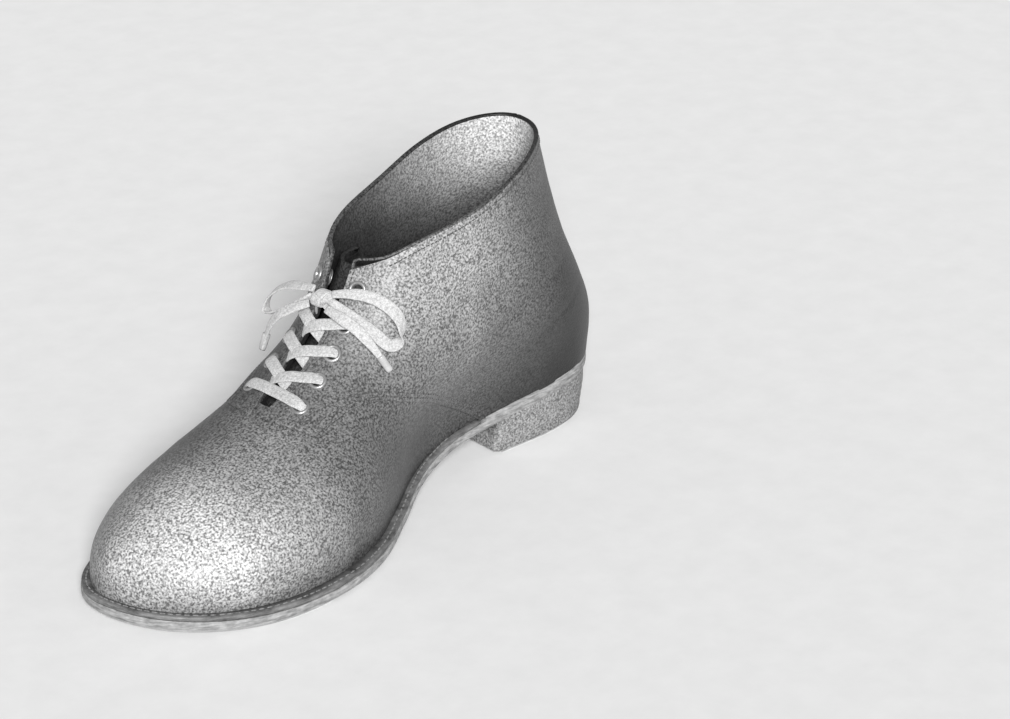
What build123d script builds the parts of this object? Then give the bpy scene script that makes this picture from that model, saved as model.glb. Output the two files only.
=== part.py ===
"""A lace-up ankle tap boot for the right foot.

Millimetres. +X points to the toe, +Y to the medial (inner) side, +Z up. The shapes are worked out round the last's
own axis, and every piece is then moved by ORIGIN, so that the origin is on the ground under the middle of the
boot's length and width.
"""

from build123d import *
import math
import os

# Overall sizes
TOE_TIP = 142.0  # front of the upper's wall
TUCK = 2.5  # how far the walls lean in at the feather line
ORIGIN = (1.3, 4.45, 0.0)  # the ground under the middle of the boot, from the last's own axis

# Layers of the upper, as offsets inwards from its outer skin
QUARTER_OUT = 0.0
VAMP_OUT = -1.4
LINING_OUT = -2.8
PUFF_IN = -3.5
CAVITY = -4.2

STEEPEST = 2.6  # the most that a slope stretches a layer's height
TOE_BOX = 90.0  # from here to the toe the layers are set off straight down

# Curves that shape the last. Each is a list of (position, value) stations.
RIDGE = [
    (-12, 160), (0, 130), (5, 116), (9, 106), (14, 96), (22, 85), (32, 75), (43, 66.5), (55, 60),
    (72, 54), (92, 49), (110, 44), (124, 39), (134, 33), (140, 26), (143, 19), (145, 10),
]
BACK = [
    (0, -139), (14, -139.5), (24, -140.5), (32, -141.5), (40, -142), (51, -140), (67, -132.5),
    (86, -123.5), (104, -116.5), (118, -112), (131, -108.5), (150, -105),
]
FOOT_MEDIAL = [
    (-150, 27), (-120, 28.5), (-95, 28), (-70, 23.5), (-40, 18.5), (-15, 22), (12, 35), (38, 47), (68, 52.5),
    (145, 52.5),
]
FOOT_LATERAL = [
    (-150, 28), (-120, 29), (-95, 29), (-70, 30), (-40, 33), (-10, 37), (20, 42), (45, 43.5), (68, 44.5),
    (145, 44.5),
]
SWING = [(-150, -10.5), (-110, -6.5), (-70, -3.2), (-40, -1.2), (-15, 0), (0, 0)]  # the axis bends at the waist
HEEL_ROUND = [(0, 31), (30, 32), (60, 40), (100, 54), (150, 64)]
LEG_MEDIAL = [(0, 30), (20, 32), (50, 35.5), (85, 35), (120, 35.5), (150, 36)]
LEG_LATERAL = [(0, 31), (20, 32), (50, 33), (85, 30), (120, 26.5), (150, 26)]
HEEL_TO_LEG = (20.0, 75.0)  # heights over which the foot's plan turns into the leg's
INSTEP = 55.0  # where the leg's plan ends, ahead of the last's middle
MEDIAL_TOE = (66.0, 2.2)  # where the toe's curve starts, and how square it is
LATERAL_TOE = (42.0, 2.05)
WIDEST = 24.0  # the walls stand furthest out at this height
MEDIAL_CROWN = 2.0  # how square the top of a cross-section is
LATERAL_CROWN = 1.8


def through(stations, at):
    """The value at a position of a smooth curve through the stations, straight beyond both ends."""
    last = len(stations) - 1
    if at <= stations[0][0]:
        (x0, v0), (x1, v1) = stations[0], stations[1]
        return v0 + (v1 - v0) / (x1 - x0) * (at - x0)
    if at >= stations[last][0]:
        (x0, v0), (x1, v1) = stations[last - 1], stations[last]
        return v1 + (v1 - v0) / (x1 - x0) * (at - x1)
    i = next(k for k in range(last) if at < stations[k + 1][0])

    def slope(k):
        low, high = stations[max(k - 1, 0)], stations[min(k + 1, last)]
        return (high[1] - low[1]) / (high[0] - low[0])

    (x0, v0), (x1, v1) = stations[i], stations[i + 1]
    span = x1 - x0
    s = (at - x0) / span
    return (
        (1 + 2 * s) * (1 - s) ** 2 * v0
        + s * (1 - s) ** 2 * span * slope(i)
        + s * s * (3 - 2 * s) * v1
        + s * s * (s - 1) * span * slope(i + 1)
    )


def step_up(s):
    """0 below 0, 1 above 1, and smooth between."""
    s = min(max(s, 0.0), 1.0)
    return s * s * (3 - 2 * s)


def ridge(x, grow):
    """Height of the last's centre line, with growth measured square to its slope."""
    slope = (through(RIDGE, x + 1) - through(RIDGE, x - 1)) / 2 if x < TOE_BOX else 0.0
    return through(RIDGE, x) + grow * min(math.hypot(1, slope), STEEPEST)


def back(z, grow):
    """The rear end of the last's centre line at a height."""
    return through(BACK, z) - grow


def swing(x):
    """How far the last's axis has moved to the medial side."""
    return through(SWING, x)


def half_width(x, z, side, grow):
    """Half-width of the last's skin, grown outwards, on the medial (side +1) or lateral (side -1) side."""
    tip = TOE_TIP + grow
    start, power = MEDIAL_TOE if side > 0 else LATERAL_TOE
    foot = through(FOOT_MEDIAL if side > 0 else FOOT_LATERAL, x)
    leg = through(LEG_MEDIAL if side > 0 else LEG_LATERAL, z)
    low, high = HEEL_TO_LEG
    wide = foot + (leg - foot) * step_up((z - low) / (high - low)) * (1 - step_up(x / INSTEP)) + grow
    if x > start:
        s = min((x - start) / (tip - start), 1.0)
        wide *= (1 - s**power) ** (1 / power)
    heel_round = through(HEEL_ROUND, z)
    s = min(max((x - back(z, grow)) / heel_round, 0.0), 1.0)
    wide *= math.sqrt(1 - (1 - s) ** 2)
    top = ridge(x, grow)
    middle = min(WIDEST, 0.45 * top)
    if z > middle:
        s = min((z - middle) / (top - middle), 1.0)
        power = MEDIAL_CROWN if side > 0 else LATERAL_CROWN
        wide *= max(1 - s**power, 0.0) ** (1 / power)
    else:
        wide -= TUCK * ((middle - z) / middle) ** 2
    return wide


# The loft's rings: each is cut by a plane from a height at the back to a height at the front.
RINGS = [
    (14, -7), (22, 6), (28, 18), (32, 27), (35, 34), (38, 40), (42, 45.5), (47, 50), (53, 54.5), (60, 60),
    (68, 67), (78, 76), (89, 88), (102, 102), (116, 117), (132, 133), (150, 150),
]
RING_POINTS = 32


def solve(inside, low, high):
    """The place between low, which is inside, and high, which isn't, where inside changes."""
    for _ in range(40):
        mid = (low + high) / 2
        low, high = (mid, high) if inside(mid) else (low, mid)
    return (low + high) / 2


def ring_plane(z_back, z_front):
    """A plane across the boot that stands at z_back at x -150 and at z_front at x 150."""
    tilt = (z_front - z_back) / 300.0
    along = Vector(1, 0, tilt).normalized()
    return Plane(origin=(0, 0, (z_back + z_front) / 2), x_dir=along, z_dir=Vector(-tilt, 0, 1).normalized())


def ring_points(z_back, z_front, grow):
    """Points round one ring. It starts, and so has its seam, on the lateral side."""
    tilt = (z_front - z_back) / 300.0
    level = (z_back + z_front) / 2

    def height(x):
        return level + tilt * x

    front = solve(lambda x: x < TOE_TIP + grow and height(x) < ridge(x, grow), -20.0, 160.0)
    rear = -solve(lambda d: -d > back(height(-d), grow), 20.0, 170.0)
    stretch = math.hypot(1, tilt)
    points = []
    for i in range(RING_POINTS):
        turn = 2 * math.pi * (i - RING_POINTS / 4 + 0.5) / RING_POINTS
        x = (front + rear) / 2 + (front - rear) / 2 * math.cos(turn)
        side = 1 if math.sin(turn) >= 0 else -1
        points.append((x * stretch, swing(x) + side * half_width(x, height(x), side, grow)))
    return points


def last_solid(grow):
    """The whole last as one solid, from under the feather line to above the topline."""
    with BuildPart() as last:
        for z_back, z_front in RINGS:
            with BuildSketch(ring_plane(z_back, z_front)):
                with BuildLine():
                    Spline(*ring_points(z_back, z_front, grow), periodic=True)
                make_face()
        loft()
    return last.part


# ---- The side-view curves that the pieces are cut along ----

# Underside of the outsole, from the heel seat over the waist and the ball to the toe spring
SOLE = [
    (-170, 26.4), (-138, 23.6), (-100, 20.2), (-66, 17.0), (-45, 14.0), (-25, 10.7), (-5, 7.4), (15, 4.5),
    (35, 2.6), (52, 1.8), (70, 1.7), (85, 1.7), (100, 2.0), (120, 3.2), (140, 5.2), (160, 7.6),
]
SOLE_FROM = -170.0
SOLE_TO = 160.0
SOLE_STATIONS = 16
SOLE_T = 3.4
WELT_T = 2.0
BOARD_T = 2.2
SOCK_T = 0.8
UPPER_BOTTOM = SOLE_T + WELT_T
FLOOR = UPPER_BOTTOM + BOARD_T
SOLE_EDGE = [(-150, 0.4), (-70, 0.5), (-40, 0.8), (-10, 1.6), (20, 2.4), (60, 2.8), (150, 2.6)]  # past the upper
NO_EDGE = [(-150, 0.0), (150, 0.0)]

TOPLINE = [
    (-150, 133), (-125, 133.5), (-105, 134), (-85, 132.5), (-66, 128.5), (-50, 124), (-35, 120.5), (-18, 117.5),
    (-8, 115), (0, 111.5), (5, 108.5), (9, 105), (14, 99), (18, 92),
]
SEAM = [(49.5, 55.8), (43, 58.2), (31, 60.6), (15, 58.2), (-11, 47.8), (-30, 37), (-46, 27.3), (-64, 14)]
SEAM_FRONT = (72, 65)
SEAM_CORNER = (53, 55.6)
VAMP_REAR = [(42, 66), (31, 67.5), (15, 65.5), (-11, 56), (-32, 45), (-50, 35), (-74, 20)]
WIDE = 90.0  # half the width of the cutting prisms
HIGH = 170.0
SIDE_PLANE = Plane.XZ.offset(-WIDE)  # the side view, from the medial side
THROAT_SLIT = (-30, 50, -7, 7)  # where the vamp is open under the tongue
LINING_SLIT = (-30, 54, -12, 12)  # the vamp's lining stops further from the lace
COUNTER_EDGE = [(-150, 78), (-115, 76), (-88, 60), (-66, 36), (-52, 14)]  # the heel counter's upper edge
PUFF_CENTRE = (172, 2)  # the toe puff's rear edge is an arc about this point
PUFF_R = 82.0

GAP = [(61, 2.2), (50, 4.0), (36, 5.0), (18, 5.4), (10, 6.0), (-10, 7.0)]  # between the two facings

# Eyelets: the height and the distance from the middle of each pair, from the throat up
ROWS = [(62, 14.5), (69, 13.5), (77, 12.5), (86, 11.5), (98.5, 11.5)]
LACED_ROWS = 4
EYELET_R = 3.8
BARREL_R = 2.5
EYELET_HOLE_R = 2.1
FLANGE_T = 0.7
LACE_W = 5.0
LACE_T = 1.0
TONGUE_OUT = -7.2
TONGUE_IN = -9.0
TONGUE_TOP = 104.0
TONGUE_SIDE = [(57, 14), (30, 22), (5, 25), (-22, 24)]  # its medial edge in plan; the lateral one mirrors it
TONGUE_REAR = -30.0
TONGUE_UNDER = [(-12, 84), (20, 56), (57, 30), (80, 30)]  # its lower edge in the side view

HEEL_BREAST = -66.0
TAP_T = 1.7
TOP_PIECE_TOP = 6.0
LIFT_T = 3.6  # the upper lift is a wedge that fills the rest, up to the outsole
LIFTS = [("lower", -1.4), ("middle", -1.0), ("upper", -0.6)]  # with each one's growth past the upper
SEAT_FRONT = -58.0  # the welt ends here and the heel seat starts
SHANK = (-98, 4, -6, 6)
SCREW_HEAD_R = 2.6
SCREW_R = 1.2
SCREW_LONG = 4.6
TUBE_R = 1.3  # a lace rolled up to a round cord


def pack_step(part, name):
    """Moves a finished piece to the boot's origin and writes it."""
    part = part.moved(Location((-ORIGIN[0], -ORIGIN[1], -ORIGIN[2])))
    part.label = name
    print(name, round(part.volume), part.is_valid, len(part.solids()), flush=True)
    export_step(part, f"parts/{name}.step")


def sole(x, up=0.0):
    """Height of the outsole's underside, or of a level above it."""
    return through(SOLE, x) + up


def sole_curve(up):
    """The sole's side view at a height above its underside, as points for a spline."""
    stations = [SOLE_FROM + (SOLE_TO - SOLE_FROM) * i / SOLE_STATIONS for i in range(SOLE_STATIONS + 1)]
    return [(x, sole(x, up)) for x in stations]


def band(low, high):
    """A layer that follows the sole's curve, between two heights above its underside."""
    with BuildPart() as layer:
        with BuildSketch(SIDE_PLANE):
            with BuildLine():
                under = Spline(*sole_curve(low))
                over = Spline(*sole_curve(high))
                Line(under @ 0, over @ 0)
                Line(under @ 1, over @ 1)
            make_face()
        extrude(amount=2 * WIDE)
    return layer.part


def above_sole(up):
    """Everything higher than a height above the sole's underside."""
    with BuildPart() as region:
        with BuildSketch(SIDE_PLANE):
            with BuildLine():
                under = Spline(*sole_curve(up))
                Polyline(under @ 0, (SOLE_FROM, HIGH), (SOLE_TO, HIGH), under @ 1)
            make_face()
        extrude(amount=2 * WIDE)
    return region.part


def plan_outline(edge, grow=0.0, points=40):
    """Points around the boot's footprint, grown by the edge's stations and by a fixed amount."""
    front = TOE_TIP + through(edge, 140) + grow
    rear = back(WIDEST, through(edge, -140) + grow)
    outline = []
    for i in range(points):
        turn = 2 * math.pi * i / points
        x = (front + rear) / 2 + (front - rear) / 2 * math.cos(turn)
        side = 1 if math.sin(turn) >= 0 else -1
        out = through(edge, x) + grow
        height = min(WIDEST, 0.4 * ridge(x, out))
        wide = half_width(x, height, side, out) if i % (points // 2) else 0.0
        outline.append((x, swing(x) + side * wide))
    return outline


def footprint(edge, grow=0.0, z_from=-10.0, z_to=60.0):
    """An upright prism over the footprint."""
    with BuildPart() as prism:
        with BuildSketch(Plane.XY.offset(z_from)):
            with BuildLine():
                Spline(*plan_outline(edge, grow), periodic=True)
            make_face()
        extrude(amount=z_to - z_from)
    return prism.part


def block(x_from, x_to, y_from, y_to, z_from, z_to):
    """A box between two corners."""
    middle = ((x_from + x_to) / 2, (y_from + y_to) / 2, (z_from + z_to) / 2)
    with BuildPart() as box:
        with Locations(middle):
            Box(x_to - x_from, y_to - y_from, z_to - z_from)
    return box.part


# ---- Bottom ----


def screw(x, y, z, long=SCREW_LONG):
    """A countersunk screw that goes up into the sole, its head flush at height z."""
    head_t = 1.2
    with BuildPart() as one:
        with BuildSketch(Plane.XZ):
            with BuildLine():
                Polyline(
                    (0, 0), (SCREW_HEAD_R, 0), (SCREW_HEAD_R, 0.2), (SCREW_R, head_t), (SCREW_R, long - 1),
                    (0.2, long), (0, long), close=True,
                )
            make_face()
        revolve(axis=Axis.Z)
    return one.part.moved(Location((x, y, z)))


def cut_all(part, tools):
    """A part with every tool cut out of it."""
    with BuildPart() as result:
        add(part)
        for tool in tools:
            add(tool, mode=Mode.SUBTRACT)
    return result.part


def common(*parts):
    """What all the parts share."""
    with BuildPart() as result:
        add(parts[0])
        for other in parts[1:]:
            add(other, mode=Mode.INTERSECT)
    return result.part


def joined(*parts):
    """The parts as one."""
    with BuildPart() as result:
        for other in parts:
            add(other)
    return result.part


TOE_TAP_REAR = 70.0
TOE_TAP_INSET = -2.2
TOE_SCREWS = [(80, 36), (80, 0), (80, -31), (105, 37), (105, -27), (129, 24), (129, -6)]
HEEL_SCREWS = [(-76, 17), (-76, -19), (-106, 18), (-106, -20), (-127, 0)]  # from the swung axis
HEEL_NAILS = [(-86, 10), (-86, -11), (-96, 0), (-116, 10), (-116, -10)]


def toe_tap_blank():
    """The plate under the toe and ball; its rear edge is an arc that bows towards the heel."""
    with BuildPart() as tap:
        add(footprint(SOLE_EDGE, TOE_TAP_INSET))
        with BuildSketch(Plane.XY.offset(-10)):
            with BuildLine():
                rear = ThreePointArc((TOE_TAP_REAR + 8, -WIDE), (TOE_TAP_REAR, 0), (TOE_TAP_REAR + 8, WIDE))
                Polyline(rear @ 0, (160, -WIDE), (160, WIDE), rear @ 1)
            make_face()
        extrude(amount=60, mode=Mode.INTERSECT)
        add(band(-TAP_T, 0), mode=Mode.INTERSECT)
    return tap.part


def heel_slab(grow, z_from, z_to, breast):
    """A layer of the heel: the rear footprint with a slightly hollow breast."""
    with BuildPart() as slab:
        add(footprint(NO_EDGE, grow, z_from, z_to))
        with BuildSketch(Plane.XY.offset(z_from)):
            with BuildLine():
                hollow = ThreePointArc((breast, -WIDE / 2), (breast - 3, 0), (breast, WIDE / 2))
                Polyline(hollow @ 0, (-170, -WIDE / 2), (-170, WIDE / 2), hollow @ 1)
            make_face()
        extrude(amount=z_to - z_from, mode=Mode.INTERSECT)
    return slab.part


def make_nails():
    """The nails that hold the heel's layers together."""
    with BuildPart() as nails:
        with Locations(*[(x, y + swing(x), TAP_T + 0.6) for x, y in HEEL_NAILS]):
            Cylinder(1.0, 14.5, align=(Align.CENTER, Align.CENTER, Align.MIN))
            Cylinder(1.9, 0.8, align=(Align.CENTER, Align.CENTER, Align.MIN))
    return nails.part


def make_sole(outsole_blank, toe_screws):
    """The outsole and what lies on it: welt, cork, shank and heel seat, then insole board and sock."""
    front_of_seat = block(SEAT_FRONT, SOLE_TO, -WIDE, WIDE, -20, 80)
    back_of_seat = block(SOLE_FROM, SEAT_FRONT, -WIDE, WIDE, -20, 80)
    layer = band(SOLE_T, UPPER_BOTTOM)
    inner = footprint(NO_EDGE, CAVITY - 1.0)
    shank = common(block(*SHANK, 0, 60), band(SOLE_T + 0.6, UPPER_BOTTOM))
    welt = cut_all(common(footprint(SOLE_EDGE, -0.4), layer, front_of_seat), [inner])
    filler = cut_all(common(inner, layer, front_of_seat), [shank])
    seat = cut_all(common(footprint(NO_EDGE, 0.2), layer, back_of_seat), [shank])
    lining_plan = footprint(NO_EDGE, CAVITY - 1.2)
    pack_step(cut_all(outsole_blank, [toe_screws]), "outsole")
    pack_step(welt, "welt")
    pack_step(filler, "cork_filler")
    pack_step(seat, "heel_seat")
    pack_step(shank, "shank")
    pack_step(common(lining_plan, band(UPPER_BOTTOM, FLOOR)), "insole_board")
    pack_step(common(lining_plan, band(FLOOR, FLOOR + SOCK_T)), "sock_lining")


def make_heel(outsole_blank, heel_screws):
    """The top piece and three lifts under the heel seat, nailed together."""
    nails = make_nails()
    top_piece = heel_slab(-1.8, TAP_T, TOP_PIECE_TOP, HEEL_BREAST)
    pack_step(nails, "heel_nails")
    pack_step(cut_all(top_piece, [heel_screws, nails]), "heel_top_piece")
    for i, (name, grow) in enumerate(LIFTS):
        z_from = TOP_PIECE_TOP + i * LIFT_T
        z_to = z_from + LIFT_T if name != "upper" else 30.0
        lift = heel_slab(grow, z_from, z_to, HEEL_BREAST + 0.6 * (i + 1))
        pack_step(cut_all(lift, [nails, outsole_blank, above_sole(SOLE_T / 2)]), f"heel_lift_{name}")


def make_bottom():
    """Everything under the upper, with the taps and their screws."""
    toe_screws = joined(*[screw(x, y, sole(x, -TAP_T)) for x, y in TOE_SCREWS])
    heel_screws = joined(*[screw(x, y + swing(x), 0) for x, y in HEEL_SCREWS])
    outsole_blank = common(footprint(SOLE_EDGE), band(0, SOLE_T))
    make_sole(outsole_blank, toe_screws)
    make_heel(outsole_blank, heel_screws)
    pack_step(cut_all(toe_tap_blank(), [toe_screws]), "toe_tap")
    pack_step(cut_all(heel_slab(-3.6, 0, TAP_T, HEEL_BREAST - 2), [heel_screws]), "heel_tap")
    pack_step(toe_screws, "toe_tap_screws")
    pack_step(heel_screws, "heel_tap_screws")


# ---- Upper ----


def side_region(draw_curve, below=True):
    """Prism of the side view's part that lies below and in front of a curve, or above and behind it."""
    with BuildPart() as region:
        with BuildSketch(SIDE_PLANE):
            with BuildLine():
                start, end = draw_curve()
                if below:
                    Polyline(end, (end.X, -30), (170, -30), (170, start.Y), start)
                else:
                    Polyline(end, (-170, end.Y), (-170, HIGH), (start.X, HIGH), start)
            make_face()
        extrude(amount=2 * WIDE)
    return region.part


def seam_curve():
    """Draws the facings' front edge, the rounded corner and the seam back to the welt. Returns its ends."""
    front = Line(SEAM_FRONT, SEAM_CORNER)
    rest = Spline(*SEAM)
    TangentArc(front @ 1, rest @ 0, tangent=front % 1)
    return front @ 0, rest @ 1


def vamp_curve():
    """Draws the vamp's rear edge, hidden under the quarters. Returns its ends."""
    lead = Line((VAMP_REAR[0][0], HIGH - 10), VAMP_REAR[0])
    rest = Spline(*VAMP_REAR)
    return lead @ 0, rest @ 1


def topline_region(drop=0.0):
    """Everything below the collar's edge."""
    with BuildPart() as region:
        with BuildSketch(SIDE_PLANE):
            with BuildLine():
                top = Spline(*[(x, z - drop) for x, z in TOPLINE])
                Polyline(top @ 1, (80, 90), (170, 90), (170, -30), (-170, -30), (-170, (top @ 0).Y), top @ 0)
            make_face()
        extrude(amount=2 * WIDE)
    return region.part


def gap_prism():
    """The opening between the facings, in plan."""
    with BuildPart() as prism:
        with BuildSketch(Plane.XY.offset(20)):
            with BuildLine():
                Polyline(*GAP, *[(x, -y) for x, y in reversed(GAP)], close=True)
            make_face()
        extrude(amount=HIGH)
    return prism.part


def half_space(side):
    """Everything on one side of the last's axis."""
    axis = [(x, swing(x)) for x in (-150, -130, -110, -90, -70, -55, -40, -25, -15, 0)]
    with BuildPart() as half:
        with BuildSketch(Plane.XY.offset(-40)):
            with BuildLine():
                Polyline((-180, swing(-150)), *axis, (180, 0), (180, side * WIDE), (-180, side * WIDE), close=True)
            make_face()
        extrude(amount=HIGH + 60)
    return half.part


def facing_point(row, side):
    """Where a row's eyelet stands on the quarter's skin, and the skin's normal there."""
    z, y = row
    x = solve(lambda at: half_width(at, z, side, QUARTER_OUT) > y, -20.0, 120.0)
    small = 0.5
    slope_x = (half_width(x + small, z, side, 0) - half_width(x - small, z, side, 0)) / (2 * small)
    slope_z = (half_width(x, z + small, side, 0) - half_width(x, z - small, side, 0)) / (2 * small)
    return Vector(x, side * y, z), Vector(-slope_x, side, -slope_z).normalized()


def facing_plane(row, side):
    """A plane on the quarter's skin at an eyelet, with its normal outwards."""
    origin, normal = facing_point(row, side)
    return Plane(origin=origin, x_dir=Vector(0, 1, 0).cross(normal), z_dir=normal)


def eyelet_hole(row, side, radius):
    """A cutter through the facing."""
    with BuildPart() as hole:
        with BuildSketch(facing_plane(row, side).offset(-5.4)):
            Circle(radius)
        extrude(amount=7)
    return hole.part


def eyelet(row, side):
    """A flanged barrel, clinched inside."""
    plane = facing_plane(row, side)
    with BuildPart() as ring:
        with BuildSketch(plane):
            Circle(EYELET_R)
        extrude(amount=FLANGE_T)
        fillet(ring.edges().filter_by(GeomType.CIRCLE).group_by(Axis(plane.origin, plane.z_dir))[-1], 0.5)
        with BuildSketch(plane.offset(-5.0)):
            Circle(BARREL_R)
        extrude(amount=5.2)
        with BuildSketch(plane.offset(-5.05)):
            Circle(EYELET_R - 0.3)
        extrude(amount=0.45)
        with BuildSketch(plane.offset(-5.4)):
            Circle(EYELET_HOLE_R)
        extrude(amount=7, mode=Mode.SUBTRACT)
    return ring.part


def make_quarters(skins, walls, topline, openings):
    """The two quarters, whose facings carry the eyelets."""
    behind_seam = side_region(seam_curve, below=False)
    shell = common(cut_all(skins[QUARTER_OUT], [skins[VAMP_OUT]]), walls, behind_seam, topline)
    shell = cut_all(shell, openings)
    pack_step(common(shell, half_space(1)), "quarter_medial")
    pack_step(common(shell, half_space(-1)), "quarter_lateral")


def make_forepart(skins, walls, holes, clinch_holes):
    """The vamp, with the toe puff and the lining inside it. Returns the vamp."""
    before_vamp = side_region(vamp_curve, below=True)
    slit = block(*THROAT_SLIT, 40, HIGH)
    vamp = common(cut_all(skins[VAMP_OUT], [skins[LINING_OUT]]), walls, before_vamp)
    vamp = cut_all(vamp, [slit, *holes])
    pack_step(vamp, "vamp")
    with BuildPart() as puff_zone:
        with BuildSketch(Plane.XY):
            with Locations(PUFF_CENTRE):
                Circle(PUFF_R)
        extrude(amount=HIGH)
    puff = common(cut_all(skins[LINING_OUT], [skins[PUFF_IN]]), walls, puff_zone.part)
    pack_step(puff, "toe_puff")
    lining = common(cut_all(skins[LINING_OUT], [skins[CAVITY]]), walls, before_vamp)
    pack_step(cut_all(lining, [puff, block(*LINING_SLIT, 40, HIGH), *clinch_holes]), "vamp_lining")
    return vamp


def make_rear_lining(skins, walls, vamp, openings):
    """The heel counter and the lining of the quarters."""
    with BuildPart() as counter_zone:
        with BuildSketch(SIDE_PLANE):
            with BuildLine():
                edge = Spline(*COUNTER_EDGE)
                Polyline(edge @ 1, ((edge @ 1).X, -10), (SOLE_FROM, -10), (SOLE_FROM, (edge @ 0).Y), edge @ 0)
            make_face()
        extrude(amount=2 * WIDE)
    counter = common(cut_all(skins[VAMP_OUT], [skins[LINING_OUT]]), walls, counter_zone.part)
    counter = cut_all(counter, [vamp])
    pack_step(counter, "heel_counter")
    behind_vamp = side_region(vamp_curve, below=False)
    lining = common(cut_all(skins[VAMP_OUT], [skins[CAVITY]]), walls, behind_vamp, topline_region(0.6))
    pack_step(cut_all(lining, [counter, *openings]), "quarter_lining")


def make_tongue():
    """A strip of the last's skin under the facings."""
    mirrored = [(x, -y) for x, y in TONGUE_SIDE]
    with BuildPart() as zone:
        with BuildSketch(Plane.XY):
            with BuildLine():
                Polyline(mirrored[0], *TONGUE_SIDE)
                ThreePointArc(TONGUE_SIDE[-1], (TONGUE_REAR, 0), mirrored[-1])
                Polyline(*reversed(mirrored))
            make_face()
        extrude(amount=TONGUE_TOP)
        with BuildSketch(SIDE_PLANE):
            with BuildLine():
                Polyline((-40, TONGUE_TOP), *TONGUE_UNDER, (TONGUE_UNDER[-1][0], TONGUE_TOP), close=True)
            make_face()
        extrude(amount=2 * WIDE, mode=Mode.INTERSECT)
    pack_step(common(cut_all(last_solid(TONGUE_OUT), [last_solid(TONGUE_IN)]), zone.part), "tongue")


def make_upper():
    """The leather upper, its stiffeners and linings, the tongue and the eyelets."""
    skins = {grow: last_solid(grow) for grow in (QUARTER_OUT, VAMP_OUT, LINING_OUT, PUFF_IN, CAVITY)}
    walls = above_sole(UPPER_BOTTOM)
    holes = [eyelet_hole(row, side, BARREL_R) for row in ROWS for side in (1, -1)]
    make_quarters(skins, walls, topline_region(), [gap_prism(), *holes])
    clinch_holes = [eyelet_hole(row, side, EYELET_R + 0.4) for row in ROWS[:2] for side in (1, -1)]
    vamp = make_forepart(skins, walls, holes, clinch_holes)
    make_rear_lining(skins, walls, vamp, [gap_prism(), *holes])
    make_tongue()
    pack_step(joined(*[eyelet(row, 1) for row in ROWS]), "eyelets_medial")
    pack_step(joined(*[eyelet(row, -1) for row in ROWS]), "eyelets_lateral")


# ---- Lace ----


def is_inside(point):
    """Whether a point ahead of the ankle is inside the quarter's skin."""
    x, z = point.X, point.Z
    if x >= TOE_TIP or z >= ridge(x, 0) or x <= back(z, 0):
        return False
    return abs(point.Y) < half_width(x, z, 1 if point.Y >= 0 else -1, 0)


def strap(start, end, normal, levels):
    """A flat lace between two places, at levels above the quarter's skin given as (share of the way, level)."""
    along = (end - start).normalized()
    upright = (normal - along * normal.dot(along)).normalized()
    long = (end - start).length

    def level(share, height):
        place = start + along * (long * share)
        skin = solve(lambda up: is_inside(place + upright * up), -12.0, 14.0)
        return (long * share, skin + height)

    middle = [level(share, height) for share, height in levels]
    with BuildPart() as band_part:
        with BuildSketch(Plane(origin=start, x_dir=along, z_dir=along.cross(upright))):
            with BuildLine():
                over = Spline(*[(s, h + LACE_T / 2) for s, h in middle])
                under = Spline(*[(s, h - LACE_T / 2) for s, h in middle])
                Line(over @ 0, under @ 0)
                Line(over @ 1, under @ 1)
            make_face()
        extrude(amount=LACE_W / 2, both=True)
    return band_part.part


KNOT_ROW = (93.0, 0.0)
OVER = FLANGE_T + LACE_T / 2 + 0.1
UNDER = -4.9


def make_laced_part():
    """The base bar, the crossings up to the fourth pair, and the two runs up to the knot."""
    pieces = []
    first = [facing_point(ROWS[0], side) for side in (1, -1)]
    bar_levels = [(-0.07, OVER), (0.0, OVER), (0.3, OVER), (0.7, OVER), (1.0, OVER), (1.07, OVER)]
    pieces.append(strap(first[0][0], first[1][0], first[0][1] + first[1][1], bar_levels))
    rising = [(-0.03, UNDER), (0.2, UNDER), (0.5, -1.6), (0.78, 1.0), (1.0, OVER), (1.07, OVER)]
    for lower, upper in zip(ROWS[:LACED_ROWS - 1], ROWS[1:LACED_ROWS]):
        for side in (1, -1):
            start, start_normal = facing_point(lower, side)
            end, end_normal = facing_point(upper, -side)
            pieces.append(strap(start, end, start_normal + end_normal, rising))
    for row in ROWS[:LACED_ROWS]:
        for side in (1, -1):
            with BuildPart() as plug:
                with BuildSketch(facing_plane(row, side).offset(UNDER)):
                    Circle(EYELET_HOLE_R - 0.1)
                extrude(amount=OVER - UNDER)
            pieces.append(plug.part)
    for side in (1, -1):
        start, start_normal = facing_point(ROWS[LACED_ROWS - 1], side)
        end = knot_centre() + Vector(0, side * 1.5, 0)
        run = [(-0.03, UNDER), (0.35, UNDER), (0.75, -1.0), (1.0, 1.2)]
        pieces.append(strap(start, end, start_normal + Vector(1, 0, 0.8), run))
    return joined(*pieces)


def knot_centre():
    """The point of the instep's centre line under the knot."""
    z = KNOT_ROW[0]
    x = solve(lambda at: z < ridge(at, 0), -20.0, 120.0)
    return Vector(x, 0, z)


KNOT_N = Vector(0.84, 0, 0.54)


def make_knot():
    """The knot, as one rounded block that stands for the wrapped lace."""
    with BuildPart() as knot:
        with BuildSketch(Plane(origin=knot_centre() + KNOT_N * 1.2, x_dir=(0, 1, 0), z_dir=KNOT_N)):
            RectangleRounded(9.5, 7.5, 2.4)
        extrude(amount=5.0)
        fillet(knot.faces().sort_by(Axis((0, 0, 0), KNOT_N))[-1].edges(), 1.4)
    return knot.part


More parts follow.
